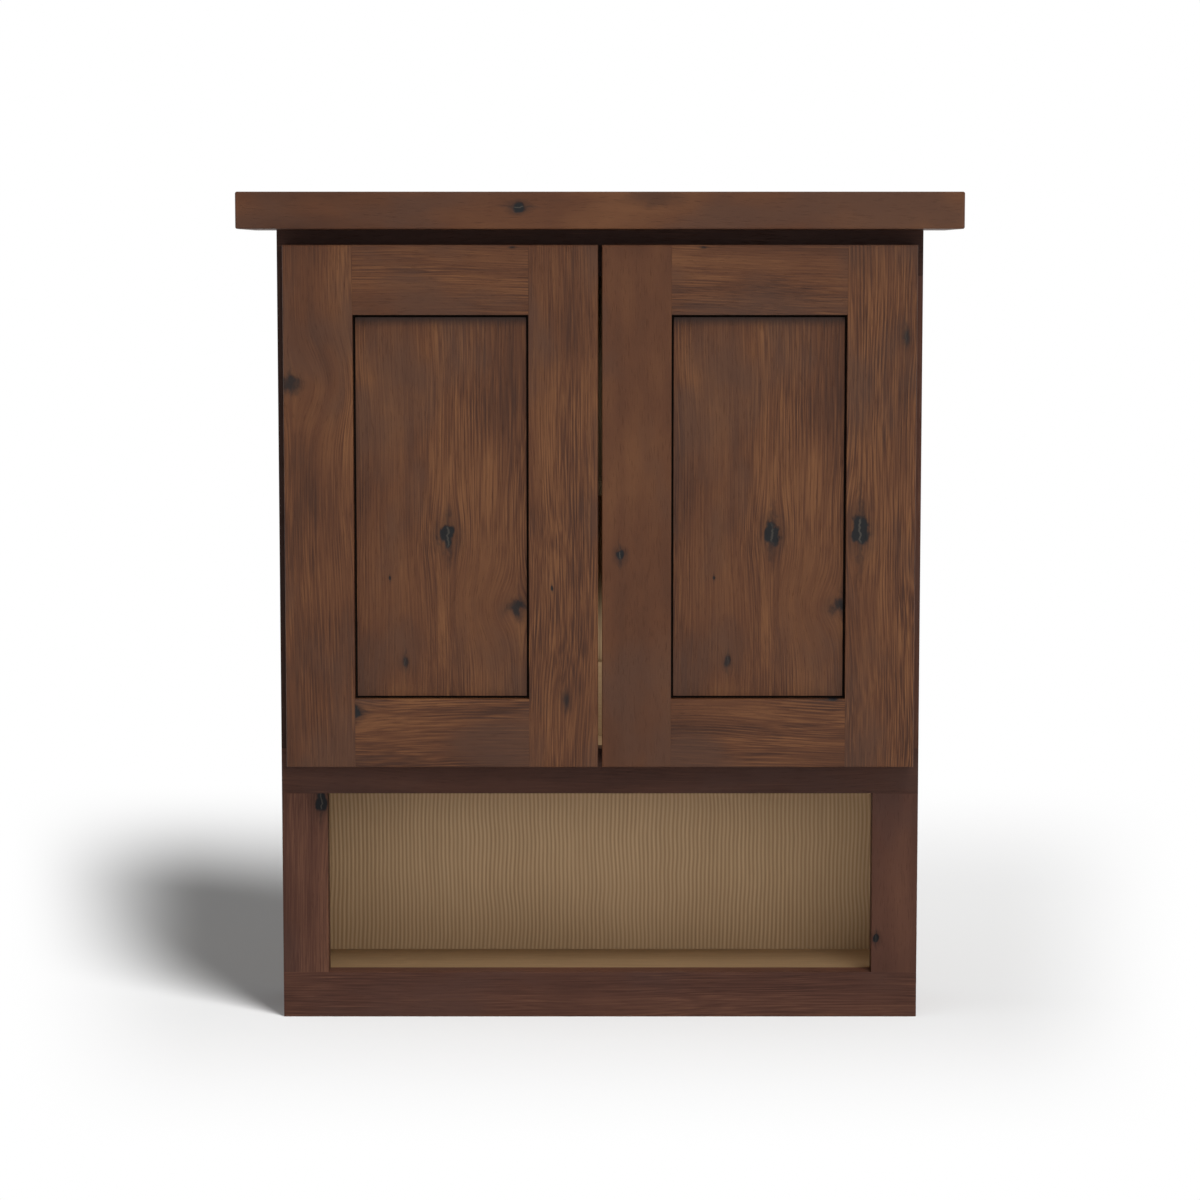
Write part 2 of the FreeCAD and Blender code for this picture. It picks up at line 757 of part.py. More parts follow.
def cup_cavity(cup, flange_outer):
    """Outline of the cup's hollow: a round with a slot between two ears, open towards the door edge."""
    sketch = new_sketch(cup, "XZ", dim.flange_thickness)
    inner = dim.cup_radius - dim.cup_wall
    slot = dim.knuckle_width / 2 + dim.ear_gap
    ear_face = -pivot_from_cup + dim.ear_inboard
    chord = Size(f"sqrt({inner * inner - ear_face * ear_face})")
    points = [
        (ear_face, chord),
        (ear_face, slot),
        (flange_outer, slot),
        (flange_outer, -slot),
        (ear_face, -slot),
        (ear_face, -chord),
    ]
    corners = [Vector(number(across), number(up), 0) for across, up in points]
    for start, end in zip(corners, corners[1:]):
        sketch.addGeometry(Part.LineSegment(start, end))
    rim = Part.Circle(Vector(), UP, number(inner))
    arc_start = rim.parameter(corners[-1]) - math.tau
    arc = sketch.addGeometry(Part.ArcOfCircle(rim, arc_start, rim.parameter(corners[0])))
    last = arc - 1
    for index in range(last):
        sketch.addConstraint(Sketcher.Constraint("Coincident", index, 2, index + 1, 1))
        bind_point(sketch, index, 2, points[index + 1])
    sketch.addConstraint(Sketcher.Constraint("Coincident", last, 2, arc, 1))
    sketch.addConstraint(Sketcher.Constraint("Coincident", arc, 2, 0, 1))
    sketch.addConstraint(Sketcher.Constraint("Coincident", arc, 3, SKETCH_ORIGIN, 1))
    bind_radius(sketch, arc, inner)
    bind_coordinate(sketch, 0, 1, "DistanceX", UP_AXIS, ear_face)
    bind_coordinate(sketch, last, 2, "DistanceX", UP_AXIS, ear_face)
    return sketch


def make_hinge_pins():
    """Pivot pins of the left door, one in each cup."""
    pins = []
    for name, level in hinge_levels.items():
        pin = DOC.addObject("Part::Cylinder", f"pivot_pin_{name}")
        pin.setExpression("Radius", str(dim.pin_radius))
        pin.setExpression("Height", str(2 * dim.pin_half_length))
        place(pin, pivot_x, pivot_y, level - dim.pin_half_length)
        pins.append(pin)
    return group("left_hinge_pins", pins)


def make_cup_screws():
    """Screws that hold the left door's hinge cups."""
    head_plane = door_back + dim.flange_thickness
    places = [
        (cup_x + dim.cup_screw_offset, head_plane, level + side * dim.cup_screw_half_pitch)
        for level in hinge_levels.values()
        for side in (-1, 1)
    ]
    first = hinge_screw("cup_screw", places[0], POINTS_FORWARD)
    return group("left_cup_screws", [first] + [copy_at(first, *spot) for spot in places[1:]])


def make_door_stile(label, outer_edge, groove_side):
    """Door stile with the panel groove along one edge; groove_side 1 faces +X, -1 faces -X."""
    stile = new_body(label, outer_edge, door_front, door_bottom)
    width = dim.door_stile_width
    bottom_of_groove = width - dim.groove_depth
    section = [
        (ZERO, ZERO),
        (width, ZERO),
        (width, groove_front),
        (bottom_of_groove, groove_front),
        (bottom_of_groove, groove_back),
        (width, groove_back),
        (width, dim.door_thickness),
        (ZERO, dim.door_thickness),
    ]
    if groove_side < 0:
        section = [(width - across, deep) for across, deep in reversed(section)]
    pad(stile, outline(stile, "XY", section), door_height)
    free_edge = 0.0 if groove_side > 0 else number(width)
    top = number(door_height)

    def is_outer(point, edge):
        at_end = point.z < NEAR or point.z > top - NEAR
        return point.y < NEAR and (at_end or abs(point.x - free_edge) < NEAR)

    round_edges(stile, dim.door_edge_round, is_outer)
    return stile


def bore_for_hinges(stile):
    """Cup bores and cup-screw pilot holes in the back of the left hinge stile."""
    levels = [level - door_bottom for level in hinge_levels.values()]
    centres = [(cup_inset, level) for level in levels]
    bores = circles(stile, "XZ", centres, cup_bore_radius, dim.door_thickness)
    pocket(stile, bores, dim.cup_depth + dim.cup_bore_gap, along_normal=True)
    pilots = [
        (cup_inset + dim.cup_screw_offset, level + side * dim.cup_screw_half_pitch)
        for level in levels
        for side in (-1, 1)
    ]
    radius = dim.hinge_screw_shank_radius + dim.screw_gap
    holes = circles(stile, "XZ", pilots, radius, dim.door_thickness)
    reach = dim.hinge_screw_length - dim.flange_thickness + dim.cup_bore_gap
    pocket(stile, holes, reach, along_normal=True)


def make_door_rail(label, bottom, groove_at_top):
    """Door rail with the panel groove along its inner edge and a stub tenon at each end."""
    tenon = dim.groove_depth - dim.tenon_end_gap
    rail = new_body(label, -door_edge + dim.door_stile_width, door_front, bottom)
    width = dim.door_rail_width
    bottom_of_groove = width - dim.groove_depth
    section = [
        (ZERO, ZERO),
        (dim.door_thickness, ZERO),
        (dim.door_thickness, width),
        (groove_back, width),
        (groove_back, bottom_of_groove),
        (groove_front, bottom_of_groove),
        (groove_front, width),
        (ZERO, width),
    ]
    tenon_low = (groove_front + dim.glue_gap, dim.door_edge_round)
    tenon_high = (groove_back - dim.glue_gap, bottom_of_groove)
    if not groove_at_top:
        section = [(deep, width - up) for deep, up in reversed(section)]
        tenon_bottom = width - tenon_high[1]
        tenon_high = (tenon_high[0], width - tenon_low[1])
        tenon_low = (tenon_low[0], tenon_bottom)
    pad(rail, outline(rail, "YZ", section), rail_span)
    free_edge = 0.0 if groove_at_top else number(width)
    round_edges(
        rail,
        dim.door_edge_round,
        lambda point, edge: point.y < NEAR and abs(point.z - free_edge) < NEAR,
    )
    pad(rail, rectangle(rail, "YZ", tenon_low, tenon_high, -tenon), rail_span + 2 * tenon)
    return rail


def make_door_panel():
    """Flat panel that floats in the grooves; its field stands forward inside a narrow shadow line."""
    tongue = dim.groove_depth - dim.panel_float
    low = (
        -door_edge + dim.door_stile_width - tongue,
        door_front + groove_front + dim.glue_gap,
        door_bottom + dim.door_rail_width - tongue,
    )
    panel = new_body("left_door_panel", *low)
    width = rail_span + 2 * tongue
    height = door_height - 2 * dim.door_rail_width + 2 * tongue
    sheet = rectangle(panel, "XZ", (ZERO, ZERO), (width, height))
    pad(panel, sheet, dim.groove_width - 2 * dim.glue_gap, backwards=True)
    margin = tongue + dim.panel_shadow_gap
    field = rectangle(panel, "XZ", (margin, margin), (width - margin, height - margin))
    pad(panel, field, dim.panel_field_rise + dim.glue_gap)
    return panel


def make_bumpers():
    """Soft bumpers on the back of the left door at its free corners."""
    x = -dim.door_meeting_gap / 2 - dim.bumper_inset
    levels = [door_bottom + dim.door_rail_overlap / 2, door_top - dim.bumper_inset]
    bumper = new_body("bumper", x, door_back, levels[0], POINTS_BACK)
    thickness = dim.door_standoff - dim.bumper_gap
    profile = [
        (ZERO, ZERO),
        (dim.bumper_radius, ZERO),
        (dim.bumper_radius, thickness - dim.bumper_chamfer),
        (dim.bumper_radius - dim.bumper_chamfer, thickness),
        (ZERO, thickness),
    ]
    revolve(bumper, outline(bumper, "XZ", profile))
    return group("left_door_bumpers", [bumper, copy_at(bumper, x, door_back, levels[1])])


def make_left_door():
    """All pieces of the left door."""
    hinge_stile = make_door_stile("left_door_hinge_stile", -door_edge, 1)
    bore_for_hinges(hinge_stile)
    meeting_edge = -dim.door_meeting_gap / 2 - dim.door_stile_width
    pieces = [
        hinge_stile,
        make_door_stile("left_door_meeting_stile", meeting_edge, -1),
        make_door_rail("left_door_bottom_rail", door_bottom, groove_at_top=True),
        make_door_rail("left_door_top_rail", door_top - dim.door_rail_width, groove_at_top=False),
        make_door_panel(),
    ]
    pieces += [make_hinge_cup(f"left_hinge_cup_{name}", level) for name, level in hinge_levels.items()]
    pieces += [make_hinge_pins(), make_cup_screws(), make_bumpers()]
    return pieces


def make_face_frame():
    """Rails and stiles of the face frame."""
    lower_stile = make_frame_stile("frame_lower_left_stile", cubby_bottom, cubby_top, False)
    upper_stile = make_frame_stile("frame_upper_left_stile", door_opening_bottom, door_opening_top, True)
    return [
        make_frame_rail("frame_bottom_rail", ZERO, stiles_below=False, stiles_above=True),
        make_frame_rail("frame_mid_rail", cubby_top, stiles_below=True, stiles_above=True),
        make_frame_rail("frame_top_rail", door_opening_top, stiles_below=True, stiles_above=False),
        lower_stile,
        mirrored(lower_stile, "frame_lower_right_stile"),
        upper_stile,
        mirrored(upper_stile, "frame_upper_right_stile"),
    ]


def make_box():
    """Sides, decks, back, hanging rails, shelf and slab."""
    left_side = make_side_panel()
    pieces = [
        left_side,
        mirrored(left_side, "right_side_panel"),
        make_carcass_top(),
        make_deck("divider_deck", door_opening_bottom),
        make_deck("cubby_floor", cubby_bottom),
        make_back_panel(),
        make_shelf(),
        make_shelf_pins(),
        make_slab(),
        make_slab_screws(),
    ]
    pieces += [make_hanging_rail(label, bottom) for label, bottom in hanging_rail_bottoms().items()]
    return pieces


def make_hinge_arms():
    """Hinge arms of both doors and their screws."""
    pieces = []
    for name, level in hinge_levels.items():
        arm = make_hinge_arm(f"left_hinge_arm_{name}", level)
        pieces += [arm, mirrored(arm, f"right_hinge_arm_{name}")]
    return pieces + [make_arm_screws()]


def check_document():
    """Stop if any object of the document failed."""
    failed = [item.Label for item in DOC.Objects if {"Invalid", "Error"} & set(item.State)]
    if failed:
        raise RuntimeError(f"failed objects: {failed}")


def write_pieces(pieces):
    """Check every piece and write one file for each."""
    for piece in pieces:
        if piece.Shape.isNull() or not piece.Shape.isValid() or not piece.Shape.Solids:
            raise RuntimeError(f"bad shape: {piece.Label}")
    os.makedirs("parts", exist_ok=True)
    for piece in pieces:
        piece.Shape.exportStep(f"parts/{piece.Label}.step")
        print(f"{piece.Label}: {len(piece.Shape.Solids)} solids, {piece.Shape.Volume / 1000:.2f} cm3")


left_door = make_left_door()
right_door = [mirrored(piece, piece.Label.replace("left_", "right_")) for piece in left_door]
all_pieces = make_box() + make_face_frame() + make_hinge_arms() + left_door + right_door
DOC.recompute()
check_document()
write_pieces(all_pieces)
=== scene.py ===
import enum
import json
import logging
import math
from dataclasses import dataclass, field, replace
from typing import Callable, ClassVar, Sequence, Union

import bmesh
import bpy
from mathutils import Euler, Matrix, Vector


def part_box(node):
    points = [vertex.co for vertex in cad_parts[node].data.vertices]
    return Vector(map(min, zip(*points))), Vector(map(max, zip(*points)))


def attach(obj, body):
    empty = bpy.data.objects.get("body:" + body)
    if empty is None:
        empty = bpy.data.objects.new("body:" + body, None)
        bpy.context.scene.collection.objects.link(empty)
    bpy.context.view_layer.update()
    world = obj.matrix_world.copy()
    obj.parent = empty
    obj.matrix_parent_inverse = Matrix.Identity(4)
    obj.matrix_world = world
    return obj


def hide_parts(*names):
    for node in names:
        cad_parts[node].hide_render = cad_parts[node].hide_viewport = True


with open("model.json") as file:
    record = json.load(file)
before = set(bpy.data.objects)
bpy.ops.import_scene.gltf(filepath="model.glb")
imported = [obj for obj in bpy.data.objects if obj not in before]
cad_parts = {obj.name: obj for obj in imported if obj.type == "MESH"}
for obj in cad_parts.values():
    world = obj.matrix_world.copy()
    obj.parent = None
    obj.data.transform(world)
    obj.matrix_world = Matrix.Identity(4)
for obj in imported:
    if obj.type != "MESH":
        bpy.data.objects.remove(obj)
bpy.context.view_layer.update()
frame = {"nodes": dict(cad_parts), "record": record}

# Looks of a wall-hung bathroom cabinet: stained knotty alder outside, pale maple inside.
# Metres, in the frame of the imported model: +Z up, the doors face -Y.

MM = 0.001
NEAR = 1e-6
QUARTER_TURN = math.pi / 2
SMOOTH_ANGLE = math.radians(40)
CABINET = "cabinet"
LOG = logging.getLogger("cabinet")

Socket = bpy.types.NodeSocket
Value = Union[Socket, float, Sequence[float]]
Colour = tuple[float, float, float]
Point = tuple[float, float, float]
Pair = tuple[float, float]


class Grain(enum.Enum):
    """Which way the fibres of a board run, as the turn that brings them upright."""

    UPRIGHT = (0.0, 0.0, 0.0)
    LEVEL = (0.0, QUARTER_TURN, 0.0)
    UPRIGHT_SIDE = (0.0, 0.0, QUARTER_TURN)

    def turned(self, place: Sequence[float]) -> Vector:
        """Place of a point once the fibres are upright."""
        return Euler(self.value).to_matrix() @ Vector(place)


class Side(enum.Enum):
    """Left or right half of the cabinet, as the sign of X."""

    LEFT = -1
    RIGHT = 1

    @property
    def word(self) -> str:
        """Name of the side in piece names."""
        return self.name.lower()

    @property
    def door(self) -> str:
        """The CAD body of the door on this side."""
        return f"{self.word}_door"


class Axis(enum.IntEnum):
    """An axis of the frame, as its place in a vector."""

    X = 0
    Y = 1
    Z = 2


class Slot(enum.Enum):
    """Material slots of the record."""

    ALDER = "stained_alder"
    MAPLE = "maple"
    HINGE = "hinge_steel"
    SCREW = "screw_steel"
    BUMPER = "bumper"


class LampRole(enum.Enum):
    """What the objects listed for a lamp are to it."""

    LIT = "receiver"
    SHADING = "blocker"


class LampList(enum.Enum):
    """Whether a lamp works on the listed objects alone, or on all but them."""

    ONLY = "INCLUDE"
    ALL_BUT = "EXCLUDE"


@dataclass(frozen=True)
class Pattern:
    """Smooth noise drawn out along the fibres: patches per metre across and along them, and octaves."""

    across: float
    along: float
    octaves: float


@dataclass
class Graph:
    """Adds and wires shader nodes in one tree."""

    tree: bpy.types.NodeTree

    def node(self, kind: str, **settings: object) -> bpy.types.Node:
        """Add a node.

        Args:
            kind: node type.
            settings: node properties to set.

        Returns:
            The new node.
        """
        made = self.tree.nodes.new(kind)
        for name, value in settings.items():
            setattr(made, name, value)
        return made

    def feed(self, socket: Socket, value: Value) -> None:
        """Link a socket, or set its own value.

        Args:
            socket: the input to feed.
            value: a socket to link from, or a plain value.
        """
        if isinstance(value, Socket):
            self.tree.links.new(value, socket)
        else:
            socket.default_value = value

    def fill(self, made: bpy.types.Node, *values: Value, **named: Value) -> None:
        """Feed a node's inputs, the first ones in order and others by name.

        Args:
            made: the node.
            values: values of the first inputs.
            named: values by socket name, with _ for a space.
        """
        for socket, value in zip(made.inputs, values):
            self.feed(socket, value)
        for name, value in named.items():
            self.feed(made.inputs[name.replace("_", " ")], value)

    def math(self, operation: str, first: Value, second: Value = 0.0, third: Value = 0.0) -> Socket:
        """Arithmetic on numbers.

        Args:
            operation: Math node operation.
            first: first operand.
            second: second operand.
            third: third operand, where the operation has one.

        Returns:
            The result's socket.
        """
        made = self.node("ShaderNodeMath", operation=operation)
        self.fill(made, first, second, third)
        return made.outputs[0]

    def vector(self, operation: str, first: Value, second: Value = (0.0, 0.0, 0.0)) -> Socket:
        """Arithmetic on vectors.

        Args:
            operation: Vector Math node operation.
            first: first operand.
            second: second operand.

        Returns:
            The result's socket.
        """
        made = self.node("ShaderNodeVectorMath", operation=operation)
        self.fill(made, first, second)
        return made.outputs["Value" if operation == "LENGTH" else "Vector"]

    def scaled(self, vector: Value, factor: Value) -> Socket:
        """Vector times a number.

        Args:
            vector: the vector.
            factor: the number.

        Returns:
            The result's socket.
        """
        made = self.node("ShaderNodeVectorMath", operation="SCALE")
        self.fill(made, vector, Scale=factor)
        return made.outputs["Vector"]

    def parts(self, vector: Value) -> tuple[Socket, Socket, Socket]:
        """Take a vector apart.

        Args:
            vector: the vector.

        Returns:
            Sockets of its X, Y and Z.
        """
        made = self.node("ShaderNodeSeparateXYZ")
        self.fill(made, vector)
        return tuple(made.outputs)

    def joined(self, x: Value, y: Value, z: Value) -> Socket:
        """Put a vector together.

        Args:
            x: part along X.
            y: part along Y.
            z: part along Z.

        Returns:
            The vector's socket.
        """
        made = self.node("ShaderNodeCombineXYZ")
        self.fill(made, x, y, z)
        return made.outputs[0]

    def noise(self, place: Value, pattern: Pattern, colour: bool = False) -> Socket:
        """Smooth noise.

        Args:
            place: coordinates in metres, with the fibres along Z.
            pattern: size of the patches.
            colour: whether three separate values are wanted.

        Returns:
            Socket with values about 0.5.
        """
        made = self.node("ShaderNodeTexNoise")
        pitch = (pattern.across, pattern.across, pattern.along)
        self.fill(made, Vector=self.vector("MULTIPLY", place, pitch), Scale=1.0, Detail=pattern.octaves)
        return made.outputs["Color" if colour else "Fac"]

    def swerve(self, place: Value, pattern: Pattern) -> Socket:
        """Smooth noise as a vector about zero."""
        return self.vector("SUBTRACT", self.noise(place, pattern, colour=True), (0.5, 0.5, 0.5))

    def sideways(self, place: Value, pattern: Pattern, size: float) -> Socket:
        """Swerve of a given size, across the fibres only."""
        return self.vector("MULTIPLY", self.swerve(place, pattern), (size, size, 0.0))

    def ramp(
        self, value: Value, low: Value, high: Value, start: Value = 0.0, end: Value = 1.0, smooth: bool = True
    ) -> Socket:
        """Step from one level to another.

        Args:
            value: input.
            low: input that gives start.
            high: input that gives end.
            start: first result.
            end: last result.
            smooth: whether the step is eased at both ends.

        Returns:
            The result's socket.
        """
        made = self.node("ShaderNodeMapRange", interpolation_type="SMOOTHSTEP" if smooth else "LINEAR")
        self.fill(made, value, low, high, start, end)
        return made.outputs[0]

    def blend(self, factor: Value, first: Value, second: Value) -> Socket:
        """Mix two colours.

        Args:
            factor: share of the second colour.
            first: colour under.
            second: colour over.

        Returns:
            The mixed colour's socket.
        """
        made = self.node("ShaderNodeMix", data_type="RGBA")
        colours = [socket for socket in made.inputs if socket.type == "RGBA"]
        self.fill(made, Factor=factor)
        for socket, value in zip(colours, (first, second)):
            self.feed(socket, (*value, 1.0) if isinstance(value, tuple) else value)
        return next(socket for socket in made.outputs if socket.type == "RGBA")

    def group(self, tree: bpy.types.NodeTree, **inputs: Value) -> bpy.types.Node:
        """Place a node group.

        Args:
            tree: the group's tree.
            inputs: values by socket name, with _ for a space.

        Returns:
            The group node.
        """
        made = self.node("ShaderNodeGroup", node_tree=tree)
        self.fill(made, **inputs)
        return made


@dataclass
class EffectGroup:
    """A shader node group under construction."""

    name: str
    inputs: dict[str, str]
    outputs: dict[str, str]
    graph: Graph = field(init=False)
    entry: bpy.types.Node = field(init=False)
    exit: bpy.types.Node = field(init=False)

    def __post_init__(self) -> None:
        """Make the tree with its sockets."""
        tree = bpy.data.node_groups.new(self.name, "ShaderNodeTree")
        for direction, sockets in (("INPUT", self.inputs), ("OUTPUT", self.outputs)):
            for label, kind in sockets.items():
                tree.interface.new_socket(label, in_out=direction, socket_type=f"NodeSocket{kind}")
        self.graph = Graph(tree)
        self.entry = self.graph.node("NodeGroupInput")
        self.exit = self.graph.node("NodeGroupOutput")

    def given(self, label: str) -> Socket:
        """Socket of an input."""
        return self.entry.outputs[label]

    def put(self, label: str, value: Value) -> None:
        """Send a value to an output."""
        self.graph.feed(self.exit.inputs[label], value)


def floats(*labels: str) -> dict[str, str]:
    """Group sockets that carry plain numbers."""
    return {label: "Float" for label in labels}


@dataclass(frozen=True)
class KnotEffect:
    """Branch knot: bends the grain round it and masks its core, dark halo, cracks and grain tails.

    Widths, lengths and reaches are in knot radii, the outer end of each step first.
    """

    lumps: Pattern = Pattern(130, 90, 1)
    lump_size: float = 1.9
    rags: Pattern = Pattern(420, 260, 2)
    rag_size: float = 0.7
    core_edge: Pair = (1.05, 0.85)
    tail_width: Pair = (0.42, 0.08)
    tail_length: Pair = (4.2, 0.6)
    tail_strength: float = 0.45
    halo_reach: Pair = (2.6, 0.9)
    crack_bends: Pattern = Pattern(60, 260, 2)
    crack_sway: float = 0.8
    crack_width: Pair = (0.19, 0.05)
    crack_reach: Pair = (0.9, 0.55)
    swirl_stretch: float = 1.5

    def tree(self) -> bpy.types.NodeTree:
        """Make the node group.

        Returns:
            The group's tree.
        """
        sizes = floats("Radius", "Stretch", "Softness", "Swirl", "Reach")
        effect = EffectGroup(
            "branch_knot",
            {"Grain": "Vector", "Centre": "Vector", **sizes},
            {"Grain": "Vector", **floats("Core", "Halo", "Crack")},
        )
        g = effect.graph
        grain, radius, stretch = effect.given("Grain"), effect.given("Radius"), effect.given("Stretch")
        offset = g.vector("SUBTRACT", grain, effect.given("Centre"))
        across, _, along = g.parts(offset)
        lumps = g.scaled(g.swerve(grain, self.lumps), self.lump_size)
        rags = g.scaled(g.swerve(grain, self.rags), self.rag_size)
        rough = g.vector("ADD", offset, g.scaled(g.vector("ADD", lumps, rags), radius))
        rough_across, _, rough_along = g.parts(rough)
        short = g.math("DIVIDE", rough_along, stretch)
        distance = g.math("DIVIDE", g.vector("LENGTH", g.joined(rough_across, 0.0, short)), radius)
        softness = effect.given("Softness")
        outer, inner = self.core_edge
        core = g.ramp(distance, g.math("ADD", outer, softness), g.math("SUBTRACT", inner, softness))
        tail_across = g.ramp(g.math("ABSOLUTE", g.math("DIVIDE", rough_across, radius)), *self.tail_width)
        tail_along = g.ramp(g.math("ABSOLUTE", g.math("DIVIDE", short, radius)), *self.tail_length)
        tail = g.math("MULTIPLY", g.math("MULTIPLY", tail_across, tail_along), self.tail_strength)
        effect.put("Core", g.math("MAXIMUM", core, tail))
        effect.put("Halo", g.ramp(distance, *self.halo_reach))
        bend = g.math("SUBTRACT", g.noise(grain, self.crack_bends), 0.5)
        crooked = g.math("MULTIPLY_ADD", bend, self.crack_sway, g.math("DIVIDE", across, radius))
        crack = g.ramp(g.math("ABSOLUTE", crooked), *self.crack_width)
        effect.put("Crack", g.math("MULTIPLY", crack, g.ramp(distance, *self.crack_reach)))
        reach = g.math("MULTIPLY", radius, effect.given("Reach"))
        long_reach = g.math("MULTIPLY", g.math("MULTIPLY", reach, stretch), self.swirl_stretch)
        square_across = g.math("POWER", g.math("DIVIDE", across, reach), 2.0)
        square_along = g.math("POWER", g.math("DIVIDE", along, long_reach), 2.0)
        fading = g.math("EXPONENT", g.math("MULTIPLY", g.math("ADD", square_across, square_along), -1.0))
        pull = g.math("MULTIPLY", across, g.math("MULTIPLY", fading, effect.given("Swirl")))
        effect.put("Grain", g.vector("SUBTRACT", grain, g.joined(pull, 0.0, 0.0)))
        return g.tree


@dataclass(frozen=True)
class AlderEffect:
    """Stained alder: blotches, bands, fine rings and fibres, dark lines, pale hairs and pores.

    An edge is the pair of noise values between which something comes in.
    """

    slow_bends: Pattern = Pattern(6, 2.5, 2)
    slow_bend: float = 30 * MM
    quick_bends: Pattern = Pattern(34, 9, 2)
    quick_bend: float = 2 * MM
    blotches: Pattern = Pattern(19, 9, 3)
    streaks: Pattern = Pattern(36, 2.5, 1)
    streak_share: float = 1.1
    bands: Pattern = Pattern(85, 3, 0.6)
    fibres: Pattern = Pattern(900, 20, 1)
    fibre_contrast: float = 0.55
    fibre_height: float = 0.6
    ring_pitch: float = 2.6 * MM
    ring_slant: float = 0.7
    ring_contrast: float = 0.06
    ring_sways: Pattern = Pattern(45, 2, 2)
    ring_sway: float = 3.0
    ring_shivers: Pattern = Pattern(420, 14, 1)
    ring_shiver: float = 0.6
    ring_patches: Pattern = Pattern(130, 9, 1)
    ring_patch_edge: Pair = (0.36, 0.62)
    lively_zones: Pattern = Pattern(24, 6, 2)
    lively_edge: Pair = (0.36, 0.60)
    lively_share: float = 0.6
    warm_patches: Pattern = Pattern(16, 8, 3)
    hairs: Pattern = Pattern(760, 6, 1)
    hair_edge: Pair = (0.66, 0.78)
    lines: Pattern = Pattern(700, 6, 1)
    line_edge: Pair = (0.30, 0.18)
    pores: Pattern = Pattern(1500, 90, 1)
    pore_edge: Pair = (0.62, 0.74)

    def rings(self, g: Graph, flow: Socket) -> Socket:
        """Fine growth rings, which come and go in patches.

        Args:
            g: the group's graph.
            flow: coordinates along the bent fibres.

        Returns:
            Socket with values about zero.
        """
        across, inward, _ = g.parts(flow)
        sway = g.math("MULTIPLY", g.noise(flow, self.ring_sways), self.ring_sway)
        shiver = g.math("MULTIPLY", g.noise(flow, self.ring_shivers), self.ring_shiver)
        depth = g.math("DIVIDE", g.math("MULTIPLY_ADD", inward, self.ring_slant, across), self.ring_pitch)
        turns = g.math("ADD", depth, g.math("ADD", sway, shiver))
        clear = g.ramp(g.noise(flow, self.ring_patches), *self.ring_patch_edge)
        return g.math("MULTIPLY", g.math("SINE", g.math("MULTIPLY", turns, math.tau)), clear)

    def tree(self) -> bpy.types.NodeTree:
        """Make the node group.

        Returns:
            The group's tree.
        """
        effect = EffectGroup(
            "alder_figure",
            {"Grain": "Vector", **floats("Blotches", "Bands", "Fibres")},
            floats("Tone", "Warmth", "Hair", "Line", "Pore", "Height"),
        )
        g = effect.graph
        grain, bands = effect.given("Grain"), effect.given("Bands")
        slow_bend = g.sideways(grain, self.slow_bends, self.slow_bend)
        quick_bend = g.sideways(grain, self.quick_bends, self.quick_bend)
        flow = g.vector("ADD", grain, g.vector("ADD", slow_bend, quick_bend))
        fibre = g.noise(flow, self.fibres)
        zone = g.ramp(g.noise(flow, self.lively_zones), *self.lively_edge)
        share = g.math("MULTIPLY_ADD", zone, self.lively_share, 1.0 - self.lively_share)
        lively = g.math("MULTIPLY", effect.given("Fibres"), share)
        threads = g.math("MULTIPLY_ADD", fibre, self.fibre_contrast, -0.5 * self.fibre_contrast)
        strands = g.math("ADD", threads, g.math("MULTIPLY", self.rings(g, flow), self.ring_contrast))
        tone = g.math("MULTIPLY_ADD", strands, lively, 0.5)
        layers = (
            (g.noise(grain, self.blotches), effect.given("Blotches")),
            (g.noise(flow, self.bands), bands),
            (g.noise(flow, self.streaks), g.math("MULTIPLY", bands, self.streak_share)),
        )
        for layer, weight in layers:
            tone = g.math("ADD", tone, g.math("MULTIPLY", g.math("SUBTRACT", layer, 0.5), weight))
        effect.put("Tone", tone)
        effect.put("Warmth", g.noise(grain, self.warm_patches))
        shown = g.math("MINIMUM", lively, 1.0)
        hair = g.ramp(g.noise(flow, self.hairs), *self.hair_edge)
        effect.put("Hair", g.math("MULTIPLY", hair, shown))
        line = g.ramp(g.noise(flow, self.lines), *self.line_edge)
        effect.put("Line", g.math("MULTIPLY", line, shown))
        pore = g.ramp(g.noise(flow, self.pores), *self.pore_edge)
        effect.put("Pore", pore)
        effect.put("Height", g.math("SUBTRACT", g.math("MULTIPLY", fibre, self.fibre_height), pore))
        return g.tree


@dataclass(frozen=True)
class MapleEffect:
    """Maple: slow clouds, fine fibres and wavy ribs along them."""

    waves: Pattern = Pattern(9, 17, 1)
    wave: float = 6.5 * MM
    clouds: Pattern = Pattern(7, 3, 3)
    fibres: Pattern = Pattern(520, 9, 3)
    rib_height: float = 3.0

    def tree(self) -> bpy.types.NodeTree:
        """Make the node group.

        Returns:
            The group's tree.
        """
        effect = EffectGroup(
            "maple_figure",
            {"Grain": "Vector", **floats("Ribs", "Rib Pitch")},
            floats("Tone", "Fibre", "Height"),
        )
        g = effect.graph
        grain, ribs = effect.given("Grain"), effect.given("Ribs")
        flow = g.vector("ADD", grain, g.sideways(grain, self.waves, self.wave))
        fibre = g.noise(flow, self.fibres)
        across, _, _ = g.parts(flow)
        turn = g.math("MULTIPLY", g.math("DIVIDE", across, effect.given("Rib Pitch")), math.tau)
        rib = g.math("MULTIPLY_ADD", g.math("SINE", turn), 0.5, 0.5)
        plain = g.math("MULTIPLY", g.math("ADD", g.noise(flow, self.clouds), fibre), 0.5)
        effect.put("Tone", g.math("ADD", plain, g.math("MULTIPLY", g.math("SUBTRACT", rib, plain), ribs)))
        effect.put("Fibre", fibre)
        effect.put("Height", g.math("MULTIPLY_ADD", rib, g.math("MULTIPLY", ribs, self.rib_height), fibre))
        return g.tree


